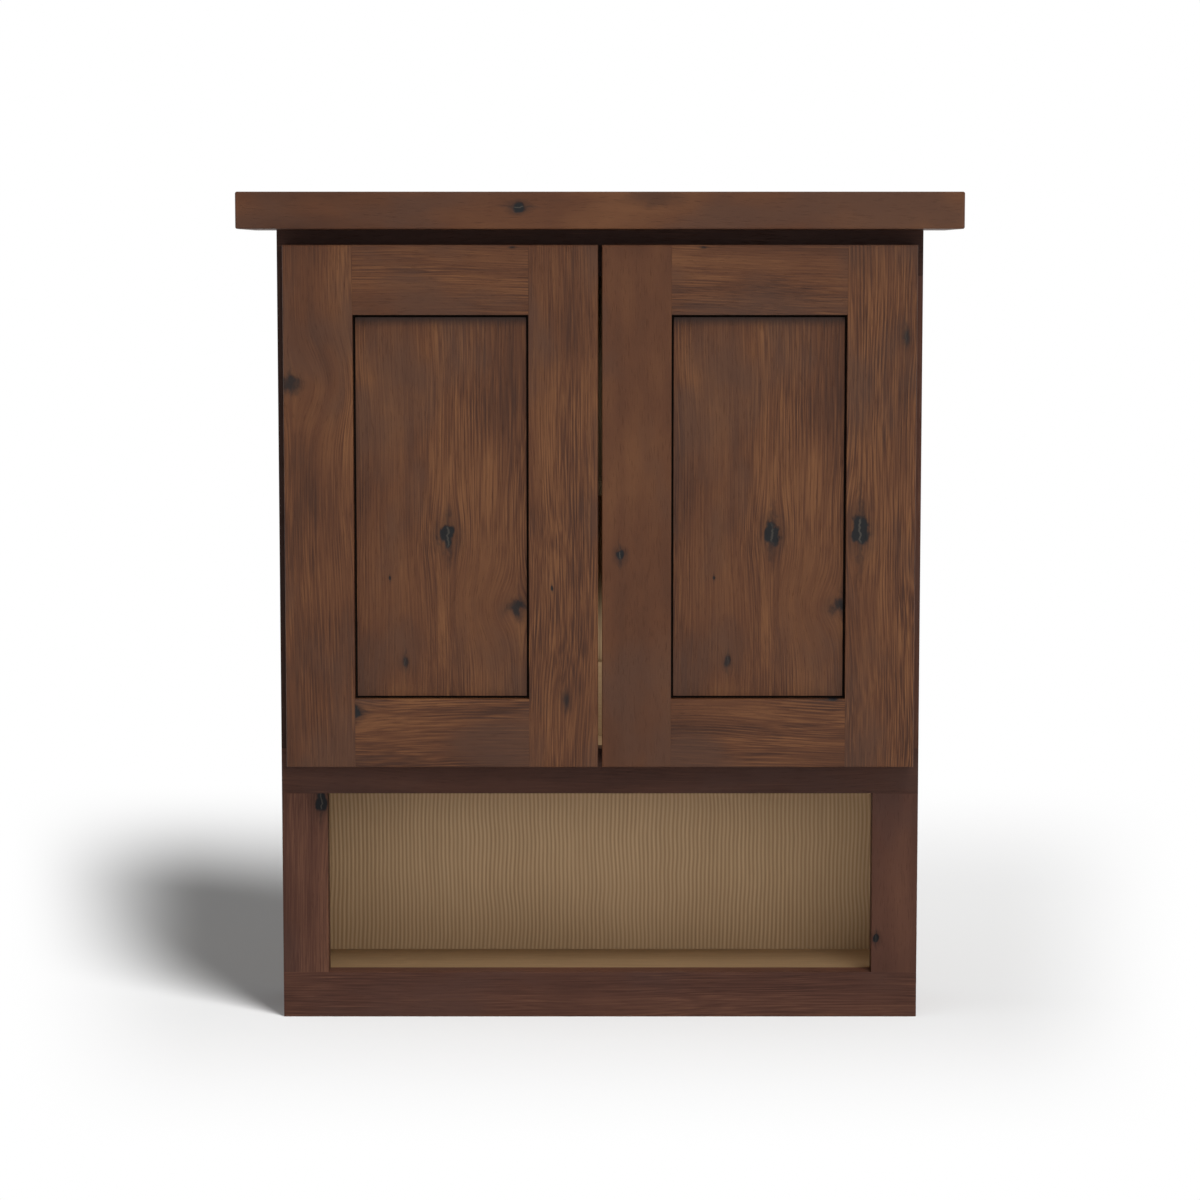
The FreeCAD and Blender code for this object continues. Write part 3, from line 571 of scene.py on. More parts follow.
@dataclass(frozen=True)
class PlateEffect:
    """Plated metal: cloudy tarnish and fine drawing marks."""

    tarnish: Pattern = Pattern(140, 140, 3)
    tarnish_edge: Pair = (0.35, 0.62)
    brush: Pattern = Pattern(2600, 220, 2)

    def tree(self) -> bpy.types.NodeTree:
        """Make the node group.

        Returns:
            The group's tree.
        """
        effect = EffectGroup("plated_metal", {"Place": "Vector"}, floats("Tarnish", "Brush"))
        g = effect.graph
        place = effect.given("Place")
        effect.put("Tarnish", g.ramp(g.noise(place, self.tarnish), *self.tarnish_edge))
        effect.put("Brush", g.noise(place, self.brush))
        return g.tree


@dataclass(frozen=True)
class Knot:
    """A branch knot right through a board; places and sizes in millimetres."""

    x: float
    z: float
    radius: float
    stretch: float = 1.5
    softness: float = 0.2
    dark: float = 1.0
    halo: float = 0.4
    crack: float = 0.0
    swirl: float = 0.6
    reach: float = 2.2


@dataclass(frozen=True)
class Cloud:
    """A cloudy patch of a board with few fibres; place and half sizes in millimetres."""

    x: float
    z: float
    half_width: float
    half_height: float
    calm: float


@dataclass(frozen=True)
class Figure:
    """How the wood of one board is drawn; shift and the heights of a band of painted shade in millimetres."""

    LOG_STEP: ClassVar[Point] = (1.37, 0.61, 2.11)

    grain: Grain
    draw: float
    tone: float = 0.0
    blotches: float = 0.9
    bands: float = 0.5
    fibres: float = 1.5
    # depth scales the stain's colours: below 1 it paints shade on a board, above 1 it paints light.
    depth: float = 1.0
    shift: float = 0.0
    # Heights between which shade is painted over the board, darker towards the upper one; none when both are
    # 0.
    settled: Pair = (0.0, 0.0)
    knots: tuple[Knot, ...] = ()
    clouds: tuple[Cloud, ...] = ()

    @property
    def offset(self) -> Point:
        """Place in the log that this board was cut from."""
        x, y, z = (step * self.draw for step in self.LOG_STEP)
        return (x - self.shift * MM, y, z)


@dataclass(frozen=True)
class StainedAlder:
    """Knotty alder under a dark brown stain and a satin lacquer."""

    dark: Colour = (0.050, 0.018, 0.0085)
    middle: Colour = (0.102, 0.0364, 0.0145)
    pale: Colour = (0.185, 0.0755, 0.0285)
    grey: Colour = (0.080, 0.036, 0.021)
    # halo is also the colour that a band of painted shade darkens to.
    halo: Colour = (0.026, 0.012, 0.008)
    core: Colour = (0.006, 0.006, 0.007)
    crack: Colour = (0.095, 0.082, 0.066)
    dark_tone: float = 0.1
    middle_tone: float = 0.5
    pale_tone: float = 1.0
    grey_edge: Pair = (0.54, 0.36)
    grey_share: float = 0.65
    line_share: float = 0.5
    hair_share: float = 0.4
    pore_share: float = 0.3
    cloud_edge: Pair = (0.4, 1.0)
    roughness: float = 0.48
    pore_roughness: float = 0.12
    gloss: float = 0.2
    core_dent: float = 2.0
    relief: float = 0.12 * MM

    def deepened(self, depth: float) -> "StainedAlder":
        """The same stain scaled darker or lighter, which paints shade or light on a board."""
        names = ("dark", "middle", "pale", "grey")
        return replace(self, **{name: tuple(depth * part for part in getattr(self, name)) for name in names})

    def fibre_strength(self, g: Graph, board: Socket, figure: Figure) -> Value:
        """How strong the fibres are, which is less in the cloudy patches.

        Args:
            g: the material's graph.
            board: coordinates with the fibres along Z.
            figure: the board's figure.

        Returns:
            A number, or a socket where the board has patches.
        """
        strength: Value = figure.fibres
        for cloud in figure.clouds:
            centre = figure.grain.turned((cloud.x * MM, 0.0, cloud.z * MM))
            size = figure.grain.turned((cloud.half_width * MM, 1.0, cloud.half_height * MM))
            away = g.vector("DIVIDE", g.vector("SUBTRACT", board, centre), size)
            kept = g.ramp(g.vector("LENGTH", away), *self.cloud_edge, 1.0 - cloud.calm, 1.0)
            strength = g.math("MULTIPLY", strength, kept)
        return strength

    @staticmethod
    def add_knots(
        g: Graph, board: Socket, figure: Figure, knot_tree: bpy.types.NodeTree
    ) -> tuple[Socket, dict[str, Socket]]:
        """Bend the grain round the board's knots and gather what they cover.

        Args:
            g: the material's graph.
            board: coordinates with the fibres along Z.
            figure: the board's figure.
            knot_tree: knot effect.

        Returns:
            The bent grain and the masks of the knots' layers, none where the board has no knot.
        """
        grain = board
        masks: dict[str, Socket] = {}
        for knot in figure.knots:
            made = g.group(
                knot_tree,
                Grain=grain,
                Centre=figure.grain.turned((knot.x * MM, 0.0, knot.z * MM)),
                Radius=knot.radius * MM,
                Stretch=knot.stretch,
                Softness=knot.softness,
                Swirl=knot.swirl,
                Reach=knot.reach,
            )
            grain = made.outputs["Grain"]
            for label, strength in (("Core", knot.dark), ("Halo", knot.halo), ("Crack", knot.crack)):
                mask = g.math("MULTIPLY", made.outputs[label], strength)
                masks[label] = g.math("MAXIMUM", masks[label], mask) if label in masks else mask
        return grain, masks

    def wood_colour(self, g: Graph, wood: bpy.types.Node, figure: Figure) -> Socket:
        """Colour of the board between its knots, with any band of painted shade.

        Args:
            g: the material's graph.
            wood: the alder effect's node.
            figure: the board's figure.

        Returns:
            The colour's socket.
        """
        tone = g.math("ADD", wood.outputs["Tone"], figure.tone)
        colour = g.blend(g.ramp(tone, self.dark_tone, self.middle_tone, smooth=False), self.dark, self.middle)
        colour = g.blend(g.ramp(tone, self.middle_tone, self.pale_tone, smooth=False), colour, self.pale)
        greyed = g.ramp(wood.outputs["Warmth"], *self.grey_edge, 0.0, self.grey_share)
        colour = g.blend(greyed, colour, self.grey)
        layers = (
            ("Line", self.line_share, self.dark),
            ("Hair", self.hair_share, self.pale),
            ("Pore", self.pore_share, self.dark),
        )
        for label, share, tint in layers:
            colour = g.blend(g.math("MULTIPLY", wood.outputs[label], share), colour, tint)
        # Painted shade: between the two heights the colour darkens to the knot-halo colour, standing for the
        # shadow under the door's top rail.
        if any(figure.settled):
            _, _, level = g.parts(board_coordinates(g, Grain.UPRIGHT))
            low, high = figure.settled
            colour = g.blend(g.ramp(level, low * MM, high * MM), colour, self.halo)
        return colour

    def material(
        self, name: str, figure: Figure, knot_tree: bpy.types.NodeTree, wood_tree: bpy.types.NodeTree
    ) -> bpy.types.Material:
        """Make the material of one board.

        Args:
            name: material name.
            figure: the board's figure.
            knot_tree: knot effect.
            wood_tree: alder effect.

        Returns:
            The material.
        """
        material, g, shader = new_material(name)
        board = board_coordinates(g, figure.grain)
        grain, masks = self.add_knots(g, board, figure, knot_tree)
        wood = g.group(
            wood_tree,
            Grain=g.vector("ADD", grain, figure.offset),
            Blotches=figure.blotches,
            Bands=figure.bands,
            Fibres=self.fibre_strength(g, board, figure),
        )
        colour = self.wood_colour(g, wood, figure)
        height = wood.outputs["Height"]
        if masks:
            for label, tint in (("Halo", self.halo), ("Core", self.core), ("Crack", self.crack)):
                colour = g.blend(masks[label], colour, tint)
            height = g.math("SUBTRACT", height, g.math("MULTIPLY", masks["Core"], self.core_dent))
        rough = g.math("MULTIPLY_ADD", wood.outputs["Pore"], self.pore_roughness, self.roughness)
        g.fill(shader, Base_Color=colour, Roughness=rough, Specular_IOR_Level=self.gloss)
        add_bump(g, shader, height, self.relief)
        return material


@dataclass(frozen=True)
class RecessStain:
    """Painted shade, nearly black, for the narrow recess round a door panel's field, with lighter cloudy
    patches.
    """

    colour: Colour = (0.006, 0.004, 0.003)
    # Lighter patches of the painted shade.
    worn: Colour = (0.016, 0.009, 0.006)
    clouds: Pattern = Pattern(120, 60, 3)
    roughness: float = 0.75
    roughness_spread: float = 0.15
    gloss: float = 0.1

    def material(self, name: str) -> bpy.types.Material:
        """Make the material.

        Args:
            name: material name.

        Returns:
            The material.
        """
        material, g, shader = new_material(name)
        cloud = g.noise(board_coordinates(g, Grain.UPRIGHT), self.clouds)
        colour = g.blend(cloud, self.colour, self.worn)
        rough = g.math("MULTIPLY_ADD", cloud, self.roughness_spread, self.roughness)
        g.fill(shader, Base_Color=colour, Roughness=rough, Specular_IOR_Level=self.gloss)
        return material


@dataclass(frozen=True)
class Maple:
    """Pale maple under clear lacquer, plain or as a ribbed veneer."""

    LOG_STEP: ClassVar[Point] = (0.83, 0.37, 1.31)

    dark: Colour = (0.285, 0.175, 0.085)
    pale: Colour = (0.465, 0.31, 0.17)
    tone_range: Pair = (0.2, 0.85)
    roughness: float = 0.5
    fibre_roughness: float = 0.08
    gloss: float = 0.25
    rib_pitch: float = 3.5 * MM
    rib_contrast: float = 0.36
    relief: float = 0.1 * MM

    def material(
        self, name: str, grain: Grain, draw: int, maple_tree: bpy.types.NodeTree, ribbed: bool = False
    ) -> bpy.types.Material:
        """Make the material of one maple board.

        Args:
            name: material name.
            grain: which way the fibres run.
            draw: which part of the log it shows.
            maple_tree: maple effect.
            ribbed: whether the veneer has fine wavy ribs along the fibres.

        Returns:
            The material.
        """
        material, g, shader = new_material(name)
        offset = tuple(step * draw for step in self.LOG_STEP)
        wood = g.group(
            maple_tree,
            Grain=g.vector("ADD", board_coordinates(g, grain), offset),
            Ribs=self.rib_contrast if ribbed else 0.0,
            Rib_Pitch=self.rib_pitch,
        )
        colour = g.blend(g.ramp(wood.outputs["Tone"], *self.tone_range), self.dark, self.pale)
        rough = g.math("MULTIPLY_ADD", wood.outputs["Fibre"], self.fibre_roughness, self.roughness)
        g.fill(shader, Base_Color=colour, Roughness=rough, Specular_IOR_Level=self.gloss)
        add_bump(g, shader, wood.outputs["Height"], self.relief)
        return material


@dataclass(frozen=True)
class PlatedSteel:
    """Nickel or zinc plated pressed steel."""

    colour: Colour = (0.62, 0.60, 0.56)
    shade: Colour = (0.50, 0.485, 0.455)
    roughness: float = 0.28
    brush_roughness: float = 0.14
    relief: float = 0.006 * MM

    def material(self, name: str, plate_tree: bpy.types.NodeTree) -> bpy.types.Material:
        """Make the material.

        Args:
            name: material name.
            plate_tree: plated-metal effect.

        Returns:
            The material.
        """
        material, g, shader = new_material(name)
        plate = g.group(plate_tree, Place=board_coordinates(g, Grain.UPRIGHT))
        brush = plate.outputs["Brush"]
        colour = g.blend(plate.outputs["Tarnish"], self.shade, self.colour)
        rough = g.math("MULTIPLY_ADD", g.math("SUBTRACT", brush, 0.5), self.brush_roughness, self.roughness)
        g.fill(shader, Base_Color=colour, Roughness=rough, Metallic=1.0)
        add_bump(g, shader, brush, self.relief)
        return material


@dataclass(frozen=True)
class ClearRubber:
    """Milky soft polyurethane of the door bumpers."""

    colour: Colour = (0.62, 0.61, 0.57)
    shade: Colour = (0.48, 0.47, 0.43)
    clouds: Pattern = Pattern(300, 300, 3)
    roughness: float = 0.25
    roughness_spread: float = 0.2
    milkiness: float = 0.2
    light_depth: float = 2 * MM

    def material(self, name: str) -> bpy.types.Material:
        """Make the material.

        Args:
            name: material name.

        Returns:
            The material.
        """
        material, g, shader = new_material(name)
        cloud = g.noise(board_coordinates(g, Grain.UPRIGHT), self.clouds)
        colour = g.blend(cloud, self.shade, self.colour)
        rough = g.math("MULTIPLY_ADD", cloud, self.roughness_spread, self.roughness)
        depth = (self.light_depth,) * 3
        g.fill(shader, Base_Color=colour, Roughness=rough)
        g.fill(shader, Subsurface_Weight=self.milkiness, Subsurface_Radius=depth)
        return material


def new_material(name: str) -> tuple[bpy.types.Material, Graph, bpy.types.Node]:
    """Empty material with a Principled shader.

    Args:
        name: material name.

    Returns:
        The material, its graph and its shader node.
    """
    material = bpy.data.materials.new(name)
    material.use_nodes = True
    return material, Graph(material.node_tree), material.node_tree.nodes["Principled BSDF"]


def board_coordinates(g: Graph, grain: Grain) -> Socket:
    """Object coordinates turned so that the fibres run along Z.

    Args:
        g: the material's graph.
        grain: which way the fibres run.

    Returns:
        The coordinates' socket.
    """
    turned = g.node("ShaderNodeMapping")
    g.fill(turned, Vector=g.node("ShaderNodeTexCoord").outputs["Object"], Rotation=grain.value)
    return turned.outputs["Vector"]


def add_bump(g: Graph, shader: bpy.types.Node, height: Socket, distance: float) -> None:
    """Raise a shader's surface by a height.

    Args:
        g: the material's graph.
        shader: the Principled shader.
        height: relative height.
        distance: real height of one unit.
    """
    bump = g.node("ShaderNodeBump")
    g.fill(bump, Distance=distance, Height=height)
    g.fill(shader, Normal=bump.outputs["Normal"])


def pick(piece: bpy.types.Object) -> None:
    """Select one piece alone and make it the active one."""
    bpy.ops.object.select_all(action="DESELECT")
    piece.select_set(True)
    bpy.context.view_layer.objects.active = piece


def cut_away(piece: bpy.types.Object, cutter: bpy.types.Object) -> None:
    """Cut the shape of another object out of a piece and clear that object away.

    Args:
        piece: the piece to cut.
        cutter: the object that gives the cut.
    """
    bpy.context.view_layer.objects.active = piece
    cut = piece.modifiers.new("cut", "BOOLEAN")
    cut.object = cutter
    bpy.ops.object.modifier_apply(modifier=cut.name)
    bpy.data.objects.remove(cutter)


def tie(piece: bpy.types.Object, node: str, body: str) -> None:
    """Tie a finished piece to the model.

    Args:
        piece: the piece.
        node: CAD node that it stands for.
        body: body that it rides on.
    """
    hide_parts(node)
    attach(piece, body)
    LOG.info("%s: %d faces", piece.name, len(piece.data.polygons))


@dataclass
class Board:
    """A board between two corners, shaped by hand operations and tied to its CAD node.

    SQUARE_ON and FACING are the least part of a face's normal along an axis for it to be square on
    or to look that way, SHARP is the least turn of an edge in radians, and OVERRUN is how far a
    drill stands out of the board.
    """

    SQUARE_ON: ClassVar[float] = 0.99
    FACING: ClassVar[float] = 0.5
    SHARP: ClassVar[float] = 1.0
    OVERRUN: ClassVar[float] = 1 * MM

    node: str
    low: Vector
    high: Vector
    piece: bpy.types.Object = field(init=False)

    def __post_init__(self) -> None:
        """Add the blank."""
        bpy.ops.object.select_all(action="DESELECT")
        middle = (self.low + self.high) / 2
        bpy.ops.mesh.primitive_cube_add(size=1, location=middle, scale=self.high - self.low)
        bpy.ops.object.transform_apply(location=True, rotation=True, scale=True)
        self.piece = bpy.context.object
        self.piece.name = f"{self.node}_board"

    def edit(self) -> bmesh.types.BMesh:
        """Go into edit mode.

        Returns:
            The open mesh.
        """
        pick(self.piece)
        bpy.ops.object.mode_set(mode="EDIT")
        return bmesh.from_edit_mesh(self.piece.data)

    def push(self, axis: Axis, sign: int, low: Pair, high: Pair, travel: float) -> None:
        """Push a rectangle of one face in or out.

        Args:
            axis: axis of the face's normal.
            sign: which of the two faces.
            low: lower corner of the rectangle on the other two axes, in order.
            high: upper corner.
            travel: outward travel; negative cuts a recess.
        """
        self.edit()
        others = [other for other in Axis if other != axis]
        level = (self.high if sign > 0 else self.low)[axis]
        for other, start, end in zip(others, low, high):
            normal = Vector((0, 0, 0))
            normal[other] = 1.0
            for cut in (start, end):
                bpy.ops.mesh.select_all(action="SELECT")
                bpy.ops.mesh.bisect(plane_co=normal * cut, plane_no=normal)
        mesh = bmesh.from_edit_mesh(self.piece.data)
        bpy.context.tool_settings.mesh_select_mode = (False, False, True)
        bpy.ops.mesh.select_all(action="DESELECT")
        for face in mesh.faces:
            middle = face.calc_center_median()
            on_face = abs(middle[axis] - level) < NEAR and abs(face.normal[axis]) > self.SQUARE_ON
            within = all(a < middle[other] < b for other, a, b in zip(others, low, high))
            face.select_set(on_face and within)
        bmesh.update_edit_mesh(self.piece.data)
        step = [0.0, 0.0, 0.0]
        step[axis] = sign * travel
        bpy.ops.mesh.extrude_region_move(TRANSFORM_OT_translate={"value": step})
        bpy.ops.object.mode_set(mode="OBJECT")

    def ease(
        self, radius: float, picked: Callable[[Vector], bool] = lambda middle: True, segments: int = 3
    ) -> None:
        """Round outer edges of the blank.

        Args:
            radius: radius of the rounding.
            picked: whether the edge with this middle point is rounded.
            segments: facets across the rounding.
        """
        mesh = self.edit()
        bpy.context.tool_settings.mesh_select_mode = (False, True, False)
        bpy.ops.mesh.select_all(action="DESELECT")
        for edge in mesh.edges:
            middle = (edge.verts[0].co + edge.verts[1].co) / 2
            gaps = (min(abs(at - a), abs(at - b)) for at, a, b in zip(middle, self.low, self.high))
            sharp = len(edge.link_faces) == 2 and edge.calc_face_angle() > self.SHARP
            edge.select_set(sharp and sum(gap < NEAR for gap in gaps) == 2 and picked(middle))
        bmesh.update_edit_mesh(self.piece.data)
        bpy.ops.mesh.bevel(offset=radius, segments=segments, affect="EDGES", clamp_overlap=True)
        bpy.ops.object.mode_set(mode="OBJECT")

    def drill(self, mouth: Point, axis: Axis, travel: float, radius: float, corners: int) -> None:
        """Bore a round hole.

        Args:
            mouth: centre of the hole on the board's face.
            axis: axis along which it runs.
            travel: signed depth along that axis.
            radius: radius of the hole.
            corners: facets round the hole.
        """
        overrun = math.copysign(self.OVERRUN, travel)
        middle = Vector(mouth)
        middle[axis] += (travel - overrun) / 2
        turn = ((0, QUARTER_TURN, 0), (QUARTER_TURN, 0, 0), (0, 0, 0))[axis]
        bpy.ops.object.select_all(action="DESELECT")
        bpy.ops.mesh.primitive_cylinder_add(
            vertices=corners, radius=radius, depth=abs(travel + overrun), location=middle, rotation=turn
        )
        cut_away(self.piece, bpy.context.object)

    def dress(self, *materials: bpy.types.Material) -> None:
        """Give the board its finishes."""
        for material in materials:
            self.piece.data.materials.append(material)

    def paint_facing(self, axis: Axis, sign: int, finish: int) -> None:
        """Give the faces that look one way another of the board's finishes.

        Args:
            axis: axis that they look along.
            sign: which way along it.
            finish: place of the finish in the order they were given.
        """
        for face in self.piece.data.polygons:
            if face.normal[axis] * sign > self.FACING:
                face.material_index = finish

    def settle(self, body: str, slot: Slot) -> None:
        """Tie the board to its CAD node and body."""
        tie(self.piece, self.node, body)


@dataclass
class Workshop:
    """Finishes and effects shared by all sub-assemblies."""

    alder: StainedAlder = StainedAlder()
    frame_alder: StainedAlder = StainedAlder(
        dark=(0.049, 0.0200, 0.0138),
        middle=(0.080, 0.0330, 0.0215),
        pale=(0.139, 0.0610, 0.0360),
        grey=(0.071, 0.0340, 0.0258),
        gloss=0.1,
    )
    maple: Maple = Maple()
    recess: bpy.types.Material = field(default_factory=lambda: RecessStain().material("recess_stain"))
    knot_tree: bpy.types.NodeTree = field(default_factory=lambda: KnotEffect().tree())
    wood_tree: bpy.types.NodeTree = field(default_factory=lambda: AlderEffect().tree())
    maple_tree: bpy.types.NodeTree = field(default_factory=lambda: MapleEffect().tree())
    plate_tree: bpy.types.NodeTree = field(default_factory=lambda: PlateEffect().tree())

    def stain(self, node: str, figure: Figure) -> bpy.types.Material:
        """Stained alder for one board; the face frame has a stain of its own.

        Args:
            node: CAD node of the board.
            figure: the board's figure.

        Returns:
            The material.
        """
        finish = self.frame_alder if node.startswith("frame") else self.alder
        # The figure's depth darkens or lightens the stain, as painted shade or painted light.
        finish = finish.deepened(figure.depth)
        return finish.material(f"alder_{node}", figure, self.knot_tree, self.wood_tree)

    def plain(self, node: str, grain: Grain, draw: int, ribbed: bool = False) -> bpy.types.Material:
        """Maple for one board."""
        return self.maple.material(f"maple_{node}", grain, draw, self.maple_tree, ribbed)


@dataclass
class TopSlab:
    """Thick overhanging top."""

    shop: Workshop
    edge_round: float = 1.5 * MM
    figure: Figure = Figure(
        Grain.LEVEL, draw=1.125, tone=0.02, blotches=1.1, bands=0.3, fibres=0.18,
        knots=(
            Knot(-65.5, 678.0, 3.4, 1.7, 0.25, halo=0.55, crack=0.5),
            Knot(44.5, 687.0, 5.0, 2.6, 0.8, dark=0.2, halo=0.3),
        ),
    )

    def build(self) -> None:
        """Model and dress the slab."""
        slab = Board("top_slab", *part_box("top_slab"))
        slab.ease(self.edge_round)
        slab.dress(self.shop.stain("top_slab", self.figure))
        slab.settle(CABINET, Slot.ALDER)


@dataclass
class FaceFrame:
    """Rails that run through and stiles between them."""

    FIGURES: ClassVar[dict[str, Figure]] = {
        "frame_bottom_rail": Figure(Grain.LEVEL, draw=32.8125, tone=-0.05, fibres=2.2, blotches=0.5),
        # Painted shade: the mid rail's lower tone and depth stand for the shade under the doors, and the top
        # rail's stand for the shadow under the slab.
        "frame_mid_rail": Figure(Grain.LEVEL, draw=3, tone=-0.2, fibres=1.4, blotches=0.8, depth=0.82),
        "frame_top_rail": Figure(Grain.LEVEL, draw=4, tone=-0.3, depth=0.75),
        "frame_lower_left_stile": Figure(
            Grain.UPRIGHT, draw=23.75, tone=-0.08, fibres=3.0, bands=0.9,
            knots=(Knot(-233.8, 184.0, 4.6, 1.9, 0.12, halo=0.5, crack=0.35),),
        ),
        "frame_lower_right_stile": Figure(
            Grain.UPRIGHT, draw=49.25, tone=-0.04, fibres=0.2, bands=0.4,
            knots=(Knot(232.4, 67.3, 2.9, 1.2, 0.15, halo=0.4, crack=0.2),),
        ),
        # Painted shade: depth 0.4 stands for the shadow that the left door casts on this stile.
        "frame_upper_left_stile": Figure(Grain.UPRIGHT, draw=7, depth=0.4),
        "frame_upper_right_stile": Figure(Grain.UPRIGHT, draw=8),
    }

    shop: Workshop
    tenon: float = 12 * MM
    edge_round: float = 0.8 * MM
    joint_round: float = 0.15 * MM
    thin_coat: float = 1.65

    def build(self) -> None:
        """Model and dress the frame's members."""
        for node, figure in self.FIGURES.items():
            low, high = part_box(node)
            if figure.grain is Grain.UPRIGHT:
                low.z += self.tenon
                high.z -= self.tenon
            member = Board(node, low, high)
            member.ease(self.edge_round, self.is_outer_corner(low, high))
            member.ease(self.joint_round, segments=1)
            member.dress(self.shop.stain(node, figure))
            # Painted light: the bottom rail's top face takes a lighter copy of its stain, as if lit from
            # above.
            if node == "frame_bottom_rail":
                member.dress(self.shop.stain(f"{node}_top", replace(figure, depth=self.thin_coat)))
                member.paint_facing(Axis.Z, 1, finish=1)
            member.settle(CABINET, Slot.ALDER)

    @staticmethod
    def is_outer_corner(low: Vector, high: Vector) -> Callable[[Vector], bool]:
        """Test for the upright front edges at the cabinet's outer corners.

        Args:
            low: lower corner of the member.
            high: upper corner of the member.

        Returns:
            The test of an edge's middle point.
        """
        outer = max(abs(low.x), abs(high.x))

        def test(middle: Vector) -> bool:
            """Whether the edge stands at an outer corner."""
            return abs(middle.y - low.y) < NEAR and abs(abs(middle.x) - outer) < NEAR

        return test


def panel_figure(knot_places: Sequence[Pair], cloud_x: float, shift: float = 0.0) -> Figure:
    """Figure of a door panel: both are cut from one veneer, and show the same four knots.

    Args:
        knot_places: X and Z of the knots in millimetres.
        cloud_x: X of the cloudy patch in millimetres.
        shift: how far the veneer is moved along X, in millimetres.

    Returns:
        The figure.
    """
    kinds = (
        Knot(0.0, 0.0, 9.0, 0.58, 0.4, dark=0.9, halo=0.3, swirl=0.9, reach=3.2),
        Knot(0.0, 0.0, 7.0, 1.4, 0.15, halo=0.35, crack=0.4),
        Knot(0.0, 0.0, 2.7, 1.8, 0.35, dark=0.85, halo=0.3, crack=0.2),
        Knot(0.0, 0.0, 0.9, 2.0, 0.2, halo=0.3),
    )
    return Figure(
        # The band from 579.5 to 589.5 mm paints shade under the top rail, across the top of the panel's
        # field.
        Grain.UPRIGHT, draw=12.9375, tone=0.03, blotches=1.4, fibres=2.8, shift=shift, settled=(579.5, 589.5),
        knots=tuple(replace(kind, x=x, z=z) for kind, (x, z) in zip(kinds, knot_places)),
        clouds=(Cloud(cloud_x, 349.0, 38.0, 70.0, 0.8),),
    )


